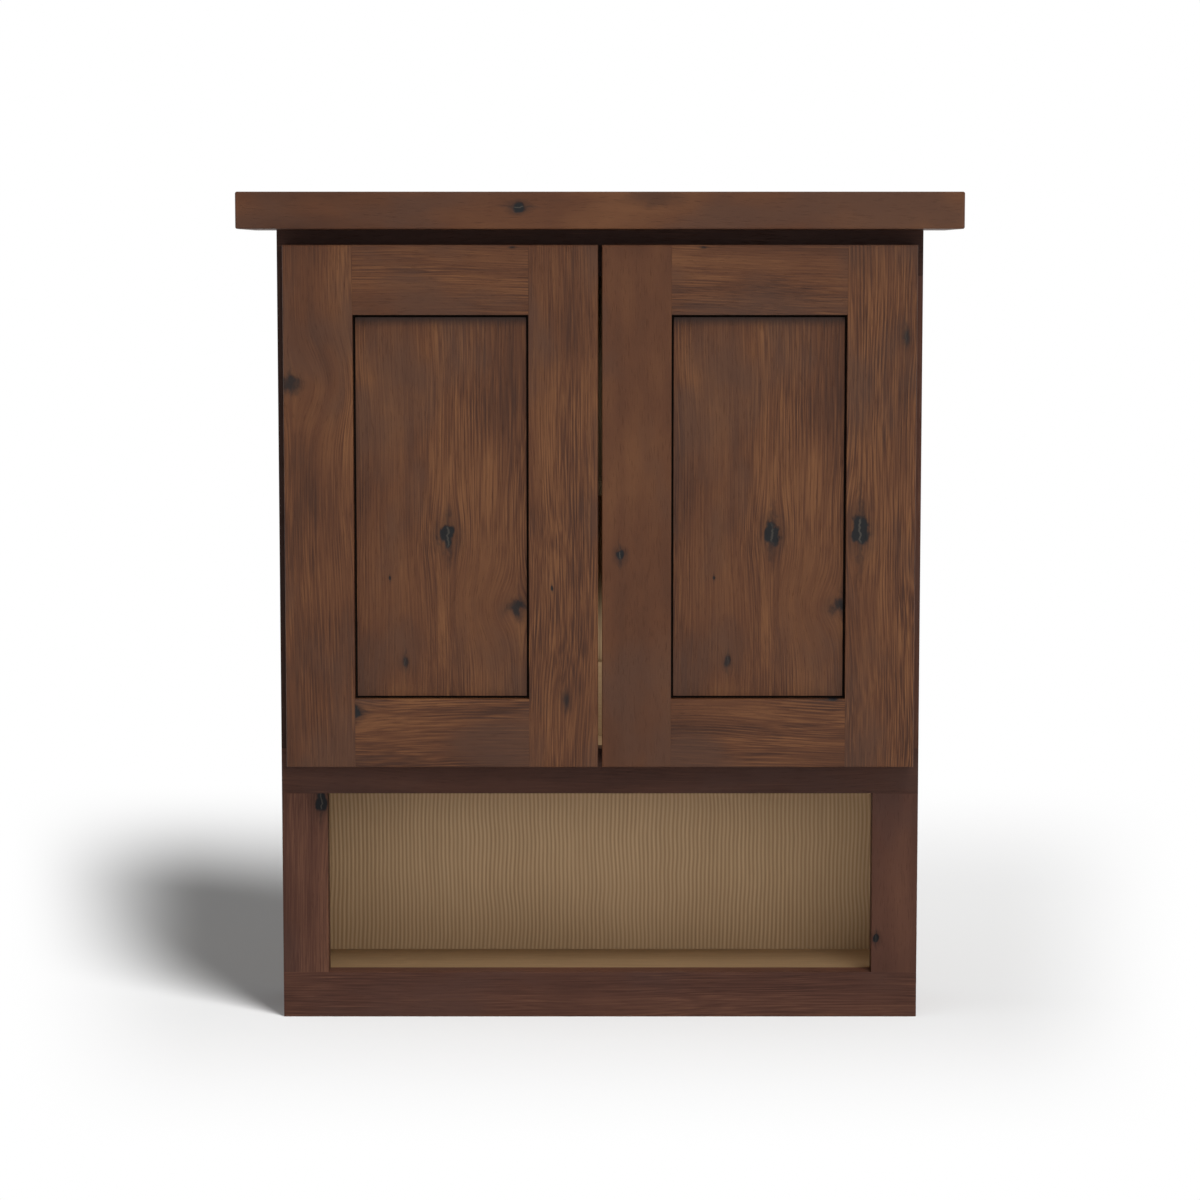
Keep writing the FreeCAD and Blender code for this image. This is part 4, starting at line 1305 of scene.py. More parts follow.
@dataclass
class ShakerDoor:
    """Stile-and-rail door with a flat floating panel; the figures stand for the boards of both doors."""

    FIGURES: ClassVar[dict[str, Figure]] = {
        "left_door_hinge_stile": Figure(
            Grain.UPRIGHT, draw=10.0, tone=0.03, fibres=2.4, bands=0.6, blotches=1.3,
            knots=(Knot(-255.0, 534.0, 8.5, 0.62, 0.6, dark=0.85, halo=0.3, swirl=0.9, reach=4.5),),
            clouds=(Cloud(-240.0, 560.0, 42.0, 120.0, 0.6),),
        ),
        "left_door_meeting_stile": Figure(
            Grain.UPRIGHT, draw=31.75, tone=0.02, fibres=3.8, bands=0.36,
            knots=(
                Knot(-39.7, 365.6, 0.9, 2.6, 0.3, halo=0.3),
                Knot(-28.2, 272.3, 2.8, 2.1, 0.6, dark=0.7, halo=0.4),
            ),
        ),
        "left_door_top_rail": Figure(
            Grain.LEVEL, draw=34.25, tone=-0.05, fibres=2.6,
            knots=(Knot(-72.0, 645.4, 0.9, 2.6, 0.4, dark=0.8, halo=0.3),),
            clouds=(Cloud(-165.0, 603.0, 80.0, 24.0, 0.65),),
        ),
        "left_door_bottom_rail": Figure(
            Grain.LEVEL, draw=29.875, tone=-0.03, fibres=4.4, bands=0.7,
            knots=(Knot(-203.4, 262.2, 5.2, 0.9, 0.25, halo=0.5),),
        ),
        "left_door_panel": panel_figure(
            ((-66.5, 349.2), (-125.7, 409.1), (-161.9, 302.5), (-173.9, 373.4)), cloud_x=-98.0
        ),
        "right_door_hinge_stile": Figure(
            Grain.UPRIGHT, draw=9.0, tone=-0.07, fibres=4.4,
            knots=(
                Knot(214.5, 413.7, 6.8, 2.0, 0.15, halo=0.4, crack=0.5),
                Knot(251.0, 572.5, 2.8, 2.4, 0.5, dark=0.8, halo=0.4, crack=0.2),
            ),
        ),
        "right_door_meeting_stile": Figure(
            Grain.UPRIGHT, draw=5.75, tone=-0.03, fibres=0.15, bands=0.3, blotches=1.0,
            knots=(Knot(16.5, 393.0, 3.6, 1.15, 0.2, halo=0.5, crack=0.5),),
        ),
        "right_door_top_rail": Figure(
            Grain.LEVEL, draw=32.75, tone=-0.02, fibres=2.6, bands=0.7,
            knots=(Knot(85.1, 645.4, 0.9, 2.6, 0.4, dark=0.8, halo=0.3),),
        ),
        "right_door_bottom_rail": Figure(
            Grain.LEVEL, draw=34.0, tone=-0.06, fibres=3.4, bands=0.6,
            knots=(Knot(193.3, 272.6, 0.9, 5.0, 0.3, halo=0.3),),
        ),
        "right_door_panel": panel_figure(
            ((201.5, 349.2), (142.3, 409.9), (106.3, 303.3), (94.4, 373.4)), cloud_x=170.0, shift=268.0
        ),
    }

    shop: Workshop
    side: Side
    stile_width: float = 57.15 * MM
    rail_tenon: float = 9.5 * MM
    groove_depth: float = 10 * MM
    groove_front: float = 9 * MM
    groove_width: float = 6 * MM
    end_wall: float = 1 * MM
    panel_tongue: float = 8 * MM
    field_margin: float = 2 * MM
    field_rise: float = 3.1 * MM
    edge_round: float = 1.2 * MM
    inner_round: float = 0.3 * MM
    joint_round: float = 0.12 * MM
    cup_radius: float = 17.7 * MM
    cup_depth: float = 12.4 * MM
    cup_edge: float = 3 * MM
    cup_corners: int = 64

    def node(self, member: str) -> str:
        """CAD node of one member."""
        return f"{self.side.door}_{member}"

    def build(self) -> None:
        """Model and dress the door's boards."""
        self.build_stile("hinge_stile", -self.side.value)
        self.build_stile("meeting_stile", self.side.value)
        self.build_rail("bottom_rail", 1)
        self.build_rail("top_rail", -1)
        self.build_panel()

    def finish(self, board: Board) -> None:
        """Dress a member and tie it to the door."""
        board.dress(self.shop.stain(board.node, self.FIGURES[board.node]))
        board.settle(self.side.door, Slot.ALDER)

    def build_stile(self, member: str, inward: int) -> None:
        """Model a stile with its panel groove.

        Args:
            member: name of the member.
            inward: sign of X towards the panel.
        """
        low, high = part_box(self.node(member))
        stile = Board(self.node(member), low, high)
        front = low.y + self.groove_front
        stop = self.stile_width - self.groove_depth
        groove_end = (front + self.groove_width, high.z - stop)
        stile.push(Axis.X, inward, (front, low.z + stop), groove_end, -self.groove_depth)
        outer = low.x if inward > 0 else high.x
        stile.ease(
            self.edge_round,
            lambda middle: abs(middle.y - low.y) < NEAR
            and min(abs(middle.x - outer), abs(middle.z - low.z), abs(middle.z - high.z)) < NEAR,
        )
        stile.ease(self.inner_round, segments=2)
        if member == "hinge_stile":
            for cup in ("lower", "upper"):
                cup_low, cup_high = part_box(f"{self.side.word}_hinge_cup_{cup}")
                bore_x = outer + inward * (self.cup_edge + self.cup_radius)
                mouth = (bore_x, high.y, (cup_low.z + cup_high.z) / 2)
                stile.drill(mouth, Axis.Y, -self.cup_depth, self.cup_radius, self.cup_corners)
        self.finish(stile)

    def build_rail(self, member: str, inward: int) -> None:
        """Model a rail with its panel groove and stub tenons.

        Args:
            member: name of the member.
            inward: sign of Z towards the panel.
        """
        low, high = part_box(self.node(member))
        low.x += self.rail_tenon
        high.x -= self.rail_tenon
        rail = Board(self.node(member), low, high)
        front = low.y + self.groove_front
        back = front + self.groove_width
        groove_start, groove_end = (low.x + self.end_wall, front), (high.x - self.end_wall, back)
        rail.push(Axis.Z, inward, groove_start, groove_end, -self.groove_depth)
        tenon_low = low.z + (self.end_wall if inward > 0 else self.groove_depth)
        tenon_high = high.z - (self.end_wall if inward < 0 else self.groove_depth)
        for end in (-1, 1):
            rail.push(Axis.X, end, (front, tenon_low), (back, tenon_high), self.rail_tenon)
        free = low.z if inward > 0 else high.z
        rail.ease(
            self.edge_round, lambda middle: abs(middle.y - low.y) < NEAR and abs(middle.z - free) < NEAR
        )
        rail.ease(
            self.inner_round,
            lambda middle: low.z + NEAR > middle.z or middle.z > high.z - NEAR,
            segments=2,
        )
        rail.ease(self.joint_round, segments=1)
        self.finish(rail)

    def build_panel(self) -> None:
        """Model the flat panel: tongue all round, field raised inside a narrow shadow line."""
        low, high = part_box(self.node("panel"))
        low.y += self.field_rise
        panel = Board(self.node("panel"), low, high)
        margin = self.panel_tongue + self.field_margin
        start = (low.x + margin, low.z + margin)
        end = (high.x - margin, high.z - margin)
        panel.push(Axis.Y, -1, start, end, self.field_rise)
        panel.ease(self.joint_round, segments=1)
        self.finish(panel)
        # The sides and floor of the recess round the field take the painted shade, nearly black.
        panel.dress(self.shop.recess)
        front = low.y - self.field_rise
        for face in panel.piece.data.polygons:
            if front + NEAR < face.center.y < low.y + NEAR:
                face.material_index = 1


@dataclass
class Carcass:
    """Sides, decks, back, hanging rails and shelf behind the frame."""

    ALDER_DRAWS: ClassVar[dict[str, int]] = {"left_side_panel": 29, "right_side_panel": 31}
    MAPLE_DRAWS: ClassVar[dict[str, int]] = {
        "left_side_panel": 32,
        "right_side_panel": 34,
        "carcass_top": 41,
        "divider_deck": 42,
        "cubby_floor": 43,
        "adjustable_shelf": 47,
        "lower_hanging_rail": 51,
        "upper_hanging_rail": 52,
        "back_panel": 55,
    }

    shop: Workshop
    tongue: float = 4.5 * MM
    tongue_width: float = 7.5 * MM
    rabbet: float = 6.45 * MM
    rabbet_width: float = 6.35 * MM
    dado: float = 6.25 * MM
    edge_round: float = 0.5 * MM
    shelf_round: float = 1 * MM
    back_round: float = 0.25 * MM
    pin_hole_radius: float = 2.6 * MM
    pin_hole_depth: float = 9 * MM
    pin_hole_pitch: float = 32 * MM
    pin_hole_rows: int = 5
    pin_hole_corners: int = 20
    shelf_row: int = 2
    pin_radius: float = 2.5 * MM
    pin_edge: float = 14 * MM
    wall_hole_radius: float = 2.75 * MM
    wall_hole_corners: int = 24

    def build(self) -> None:
        """Model and dress the boards of the box."""
        for side in Side:
            self.build_side(side)
        for node in ("carcass_top", "divider_deck", "cubby_floor"):
            self.build_deck(node)
        self.build_shelf()
        for node in ("lower_hanging_rail", "upper_hanging_rail"):
            self.build_hanging_rail(node)
        self.build_back()

    def finish(self, board: Board, grain: Grain, ribbed: bool = False) -> None:
        """Dress a maple board and tie it to the cabinet."""
        board.dress(self.shop.plain(board.node, grain, self.MAPLE_DRAWS[board.node], ribbed))
        board.settle(CABINET, Slot.MAPLE)

    def build_side(self, side: Side) -> None:
        """Model a side panel: stained outside, maple inside.

        Args:
            side: which side it stands on.
        """
        node = f"{side.word}_side_panel"
        low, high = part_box(node)
        front, back = low.y, high.y
        low.y += self.tongue
        high.y -= self.rabbet
        panel = Board(node, low, high)
        inner, outer = (low.x, high.x) if side is Side.RIGHT else (high.x, low.x)
        tongue_start, tongue_end = sorted((inner, inner + side.value * self.tongue_width))
        skin_start, skin_end = sorted((outer, outer - side.value * self.rabbet_width))
        panel.push(Axis.Y, -1, (tongue_start, low.z), (tongue_end, high.z), self.tongue)
        panel.push(Axis.Y, 1, (skin_start, low.z), (skin_end, high.z), self.rabbet)
        panel.low.y, panel.high.y = front, back
        panel.ease(self.edge_round, lambda middle: abs(middle.x - outer) < NEAR, segments=2)
        self.drill_pin_holes(panel, side, inner)
        stain = self.shop.stain(node, Figure(Grain.UPRIGHT_SIDE, draw=self.ALDER_DRAWS[node]))
        panel.dress(stain, self.shop.plain(node, Grain.UPRIGHT_SIDE, self.MAPLE_DRAWS[node]))
        panel.paint_facing(Axis.X, -side.value, finish=1)
        panel.settle(CABINET, Slot.ALDER)

    def drill_pin_holes(self, panel: Board, side: Side, inner: float) -> None:
        """Bore the two columns of shelf-pin holes.

        Args:
            panel: the side panel.
            side: which side it stands on.
            inner: X of its inner face.
        """
        shelf_low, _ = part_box("adjustable_shelf")
        level = shelf_low.z - self.pin_radius - self.shelf_row * self.pin_hole_pitch
        back_low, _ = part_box("back_panel")
        _, frame_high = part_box("frame_mid_rail")
        depth = side.value * self.pin_hole_depth
        for column in (frame_high.y + self.pin_edge, back_low.y - self.pin_edge):
            for row in range(self.pin_hole_rows):
                mouth = (inner, column, level + row * self.pin_hole_pitch)
                panel.drill(mouth, Axis.X, depth, self.pin_hole_radius, self.pin_hole_corners)

    def build_deck(self, node: str) -> None:
        """Model a level deck between the sides.

        Args:
            node: CAD node of the deck.
        """
        low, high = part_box(node)
        low.x += self.dado
        high.x -= self.dado
        deck = Board(node, low, high)
        deck.ease(self.edge_round, segments=2)
        self.finish(deck, Grain.LEVEL)

    def build_shelf(self) -> None:
        """Model the adjustable shelf."""
        shelf = Board("adjustable_shelf", *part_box("adjustable_shelf"))
        shelf.ease(self.shelf_round)
        self.finish(shelf, Grain.LEVEL)

    def drill_wall_holes(self, board: Board) -> None:
        """Bore those of the four wall-screw holes that pass through a board.

        Args:
            board: the board.
        """
        mount = next(m for m in frame["record"]["mounts"] if m["name"] == "wall_screws")
        x, _, z = mount["pos_m"]
        half_x = mount["dims"]["spacing_x_mm"] * MM / 2
        half_z = mount["dims"]["spacing_y_mm"] * MM / 2
        depth = board.high.y - board.low.y + Board.OVERRUN
        for hole_x in (x - half_x, x + half_x):
            for hole_z in (z - half_z, z + half_z):
                if board.low.z < hole_z < board.high.z:
                    mouth = (hole_x, board.low.y, hole_z)
                    board.drill(mouth, Axis.Y, depth, self.wall_hole_radius, self.wall_hole_corners)

    def build_hanging_rail(self, node: str) -> None:
        """Model a hanging rail with its two wall-screw holes.

        Args:
            node: CAD node of the rail.
        """
        rail = Board(node, *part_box(node))
        rail.ease(self.edge_round, segments=2)
        self.drill_wall_holes(rail)
        self.finish(rail, Grain.LEVEL)

    def build_back(self) -> None:
        """Model the thin back with its wall-screw holes."""
        back = Board("back_panel", *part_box("back_panel"))
        self.drill_wall_holes(back)
        back.ease(self.back_round, segments=2)
        self.finish(back, Grain.UPRIGHT, ribbed=True)


def solids(node: str) -> list[tuple[Vector, Vector]]:
    """Boxes of the separate solids in a CAD node.

    Args:
        node: name of the node.

    Returns:
        Lowest and highest corner of each solid, ordered by place to a tenth of a millimetre.
    """
    mesh = bmesh.new()
    mesh.from_mesh(frame["nodes"][node].data)
    bmesh.ops.remove_doubles(mesh, verts=mesh.verts, dist=NEAR)
    seen: set[int] = set()
    boxes = []
    for seed in mesh.verts:
        if seed.index in seen:
            continue
        seen.add(seed.index)
        island = [seed]
        for vert in island:
            for edge in vert.link_edges:
                other = edge.other_vert(vert)
                if other.index not in seen:
                    seen.add(other.index)
                    island.append(other)
        places = list(zip(*(vert.co for vert in island)))
        boxes.append((Vector(map(min, places)), Vector(map(max, places))))
    mesh.free()
    return sorted(boxes, key=lambda box: tuple(round(part, 4) for part in box[0]))


@dataclass
class Turned:
    """A round piece spun from a profile of (radius, height) points about its own +Z axis."""

    START_SIZE: ClassVar[float] = 1 * MM
    CROSS_TAPER: ClassVar[float] = 0.55

    name: str
    profile: Sequence[Pair]
    steps: int = 24
    piece: bpy.types.Object = field(init=False)

    def __post_init__(self) -> None:
        """Draw the profile from one point and spin it."""
        bpy.ops.object.select_all(action="DESELECT")
        bpy.ops.mesh.primitive_plane_add(size=self.START_SIZE)
        self.piece = bpy.context.object
        self.piece.name = self.name
        points = [Vector((radius, 0.0, height)) for radius, height in self.profile]
        bpy.ops.object.mode_set(mode="EDIT")
        bpy.context.tool_settings.mesh_select_mode = (True, False, False)
        bpy.ops.mesh.select_all(action="SELECT")
        bpy.ops.mesh.merge(type="CENTER")
        bpy.ops.transform.translate(value=points[0])
        for start, end in zip(points, points[1:]):
            bpy.ops.mesh.extrude_vertices_move(TRANSFORM_OT_translate={"value": end - start})
        bpy.ops.mesh.select_all(action="SELECT")
        bpy.ops.mesh.spin(steps=self.steps, angle=math.tau, center=(0, 0, 0), axis=(0, 0, 1))
        bpy.ops.mesh.select_all(action="SELECT")
        bpy.ops.mesh.remove_doubles(threshold=0.5 * NEAR)
        bpy.ops.mesh.normals_make_consistent(inside=False)
        bpy.ops.object.mode_set(mode="OBJECT")

    def cut_cross(self, top: float, length: float, width: float, depth: float) -> None:
        """Cut a cross recess, narrowing downwards, into the end that looks along -Z.

        Args:
            top: height of that end.
            length: length of each arm across the head.
            width: width of each arm.
            depth: depth of the recess.
        """
        narrowed = (self.CROSS_TAPER, self.CROSS_TAPER, 1.0)
        for turn in (0.0, QUARTER_TURN):
            bpy.ops.object.select_all(action="DESELECT")
            size = (length, width, 2 * depth)
            bpy.ops.mesh.primitive_cube_add(size=1, location=(0, 0, top), rotation=(0, 0, turn), scale=size)
            cutter = bpy.context.object
            bpy.ops.object.transform_apply(location=True, rotation=True, scale=True)
            bpy.ops.object.mode_set(mode="EDIT")
            mesh = bmesh.from_edit_mesh(cutter.data)
            for vert in mesh.verts:
                vert.select_set(vert.co.z > top)
            mesh.select_flush_mode()
            bpy.ops.transform.resize(value=narrowed, center_override=(0, 0, top))
            bpy.ops.object.mode_set(mode="OBJECT")
            cut_away(self.piece, cutter)

    def copy_to(self, frames: Sequence[Matrix]) -> bpy.types.Object:
        """Put a copy at each frame and join the copies into one piece.

        Args:
            frames: place and turn of each copy.

        Returns:
            The joined piece.
        """
        copies = []
        for place in frames:
            pick(self.piece)
            bpy.ops.object.duplicate(linked=False)
            copies.append(bpy.context.object)
            copies[-1].matrix_world = place
            bpy.ops.object.transform_apply(location=True, rotation=True, scale=True)
        bpy.data.objects.remove(self.piece)
        pick(copies[0])
        for copy in copies:
            copy.select_set(True)
        bpy.ops.object.join()
        bpy.ops.object.shade_smooth_by_angle(angle=SMOOTH_ANGLE)
        copies[0].name = self.name
        return copies[0]


@dataclass(frozen=True)
class ScrewSize:
    """Sizes of a pan-head wood screw; its shank runs along +Z from the head's seat.

    Thread shares are of its pitch, cross shares of the head's radius.
    """

    HEAD: ClassVar[tuple[Pair, ...]] = ((1.0, 0.25), (0.93, 0.6), (0.72, 0.9), (0.4, 1.0), (0.0, 1.0))

    head_radius: float
    head_height: float
    shank_radius: float
    length: float
    tip: float = 3 * MM
    thread_pitch: float = 1.2 * MM
    plain_share: float = 0.3
    root_share: float = 0.72
    crest_share: float = 0.4
    groove_share: float = 0.8
    cross_length: float = 1.15
    cross_width: float = 0.28
    cross_depth: float = 0.35

    def profile(self) -> list[Pair]:
        """Outline from the tip, over the thread and the plain neck, to the middle of the head.

        Returns:
            Points of radius and height.
        """
        root = self.root_share * self.shank_radius
        points = [(0.0, self.length), (root, self.length - self.tip)]
        turns = int((1 - self.plain_share) * (self.length - self.tip) / self.thread_pitch)
        for turn in range(turns):
            level = self.length - self.tip - turn * self.thread_pitch
            points.append((self.shank_radius, level - self.crest_share * self.thread_pitch))
            points.append((root, level - self.groove_share * self.thread_pitch))
        neck = self.length - self.tip - turns * self.thread_pitch
        points += [(self.shank_radius, neck), (self.shank_radius, 0.0), (self.head_radius, 0.0)]
        points += [(radius * self.head_radius, -height * self.head_height) for radius, height in self.HEAD]
        return points

    def cross(self) -> tuple[float, float, float]:
        """Length, width and depth of the cross recess."""
        shares = (self.cross_length, self.cross_width, self.cross_depth)
        return tuple(share * self.head_radius for share in shares)


@dataclass
class Hardware:
    """Hinges, screws, shelf pins and bumpers; outlines as shares of radius and height."""

    PIN_END: ClassVar[tuple[Pair, ...]] = ((0.0, 1.0), (0.6, 1.0), (0.9, 0.97), (1.0, 0.93))
    BUMPER_RIM: ClassVar[tuple[Pair, ...]] = ((0.0, 0.0), (0.96, 0.0), (1.0, 0.1), (1.0, 0.3))
    BUMPER_CROWN: ClassVar[tuple[Pair, ...]] = ((0.93, 0.6), (0.75, 0.85), (0.45, 0.97), (0.0, 1.0))

    shop: Workshop
    nickel: PlatedSteel = PlatedSteel()
    zinc: PlatedSteel = PlatedSteel(colour=(0.55, 0.55, 0.55), shade=(0.46, 0.46, 0.47), roughness=0.36)
    rubber: ClearRubber = ClearRubber()
    slab_screw: ScrewSize = ScrewSize(4.5 * MM, 2.6 * MM, 2.1 * MM, 31.75 * MM)
    hinge_screw: ScrewSize = ScrewSize(3 * MM, 0.9 * MM, 1.5 * MM, 12.7 * MM)
    roll_step: float = math.radians(67)
    pressed_round: float = 0.22 * MM
    pin_round: float = 0.35 * MM
    flat_angle: float = math.radians(1)
    bumper_steps: int = 32
    finishes: dict[Slot, bpy.types.Material] = field(init=False)

    def __post_init__(self) -> None:
        """Make the finishes."""
        self.finishes = {
            Slot.HINGE: self.nickel.material("nickel_plate", self.shop.plate_tree),
            Slot.SCREW: self.zinc.material("zinc_plate", self.shop.plate_tree),
            Slot.BUMPER: self.rubber.material("soft_bumper"),
        }

    def build(self) -> None:
        """Model and dress the metal and rubber pieces."""
        self.build_screws("slab_screws", CABINET, self.slab_screw, Axis.Z)
        self.build_screws("hinge_arm_screws", CABINET, self.hinge_screw, Axis.X)
        self.soften("shelf_pins", CABINET, self.pin_round)
        for side in Side:
            for level in ("lower", "upper"):
                self.soften(f"{side.word}_hinge_arm_{level}", CABINET, self.pressed_round)
                self.soften(f"{side.word}_hinge_cup_{level}", side.door, self.pressed_round)
            self.build_screws(f"{side.word}_cup_screws", side.door, self.hinge_screw, Axis.Y)
            self.build_pivot_pins(f"{side.word}_hinge_pins", side.door)
            self.build_bumpers(f"{side.door}_bumpers", side.door)

    def settle(self, piece: bpy.types.Object, node: str, body: str, slot: Slot) -> None:
        """Dress a piece and tie it to the model.

        Args:
            piece: the piece.
            node: CAD node that it stands for.
            body: body that it rides on.
            slot: material slot of its finish.
        """
        piece.data.materials.clear()
        piece.data.materials.append(self.finishes[slot])
        tie(piece, node, body)

    def build_screws(self, node: str, body: str, size: ScrewSize, axis: Axis) -> None:
        """Model one screw with a cross recess and drive it home at each place.

        Screws along X point away from the middle of the cabinet, along Y forwards, along Z up.

        Args:
            node: CAD node of the screws.
            body: body that they are driven into.
            size: sizes of the screw.
            axis: axis along which the screws run.
        """
        screw = Turned(f"{node}_driven", size.profile())
        screw.cut_cross(-size.head_height, *size.cross())
        frames = []
        for index, (low, high) in enumerate(solids(node)):
            seat = (low + high) / 2
            points = (math.copysign(1, seat.x), -1, 1)[axis]
            seat[axis] = (low if points > 0 else high)[axis] + points * size.head_height
            direction = Vector((0, 0, 0))
            direction[axis] = points
            aim = Vector((0, 0, 1)).rotation_difference(direction).to_matrix().to_4x4()
            frames.append(Matrix.Translation(seat) @ aim @ Matrix.Rotation(index * self.roll_step, 4, "Z"))
        self.settle(screw.copy_to(frames), node, body, Slot.SCREW)

    def build_pivot_pins(self, node: str, body: str) -> None:
        """Model the pivot pins with peened ends.

        Args:
            node: CAD node of the pins.
            body: body that they ride on.
        """
        boxes = solids(node)
        low, high = boxes[0]
        radius, half = (high.x - low.x) / 2, (high.z - low.z) / 2
        rising = [(share * radius, -level * half) for share, level in self.PIN_END]
        pin = Turned(f"{node}_turned", rising + [(r, -z) for r, z in reversed(rising)])
        frames = [Matrix.Translation((a + b) / 2) for a, b in boxes]
        self.settle(pin.copy_to(frames), node, body, Slot.HINGE)

    def build_bumpers(self, node: str, body: str) -> None:
        """Model the domed bumpers on the back of a door.

        Args:
            node: CAD node of the bumpers.
            body: body that they ride on.
        """
        boxes = solids(node)
        low, high = boxes[0]
        radius, height = (high.x - low.x) / 2, high.y - low.y
        outline = [(a * radius, b * height) for a, b in self.BUMPER_RIM + self.BUMPER_CROWN]
        dome = Turned(f"{node}_moulded", outline, self.bumper_steps)
        back = Matrix.Rotation(-QUARTER_TURN, 4, "X")
        seats = [Vector(((a.x + b.x) / 2, a.y, (a.z + b.z) / 2)) for a, b in boxes]
        frames = [Matrix.Translation(seat) @ back for seat in seats]
        self.settle(dome.copy_to(frames), node, body, Slot.BUMPER)

    def soften(self, node: str, body: str, width: float) -> None:
        """Copy a pressed steel piece from its CAD node and round its sharp edges.

        Args:
            node: CAD node.
            body: body that the piece rides on.
            width: width of the rounding.
        """
        piece = bpy.data.objects.new(f"{node}_pressed", frame["nodes"][node].data.copy())
        bpy.context.scene.collection.objects.link(piece)
        pick(piece)
        bpy.ops.object.mode_set(mode="EDIT")
        bpy.ops.mesh.select_all(action="SELECT")
        bpy.ops.mesh.remove_doubles(threshold=NEAR)
        bpy.ops.mesh.dissolve_limited(angle_limit=self.flat_angle)
        bpy.ops.object.mode_set(mode="OBJECT")
        rounding = piece.modifiers.new("rounding", "BEVEL")
        rounding.width = width
        rounding.segments = 2
        rounding.limit_method = "ANGLE"
        rounding.angle_limit = SMOOTH_ANGLE
        bpy.ops.object.modifier_apply(modifier=rounding.name)
        bpy.ops.object.shade_smooth_by_angle(angle=SMOOTH_ANGLE)
        self.settle(piece, node, body, Slot.HINGE)


@dataclass(frozen=True)
class SunLamp:
    """A soft parallel light; angles in degrees, bearing to the right of straight ahead."""

    name: str
    strength: float
    bearing: float
    height: float
    spread: float

    def add(self) -> bpy.types.Object:
        """Add the lamp; strength is the brightness of a white surface square to it.

        Returns:
            The lamp.
        """
        turn = (math.radians(90 - self.height), 0.0, math.radians(self.bearing))
        bpy.ops.object.light_add(type="SUN", rotation=turn)
        lamp = bpy.context.object
        lamp.name = self.name
        lamp.data.energy = math.pi * self.strength
        lamp.data.angle = math.radians(self.spread)
        return lamp


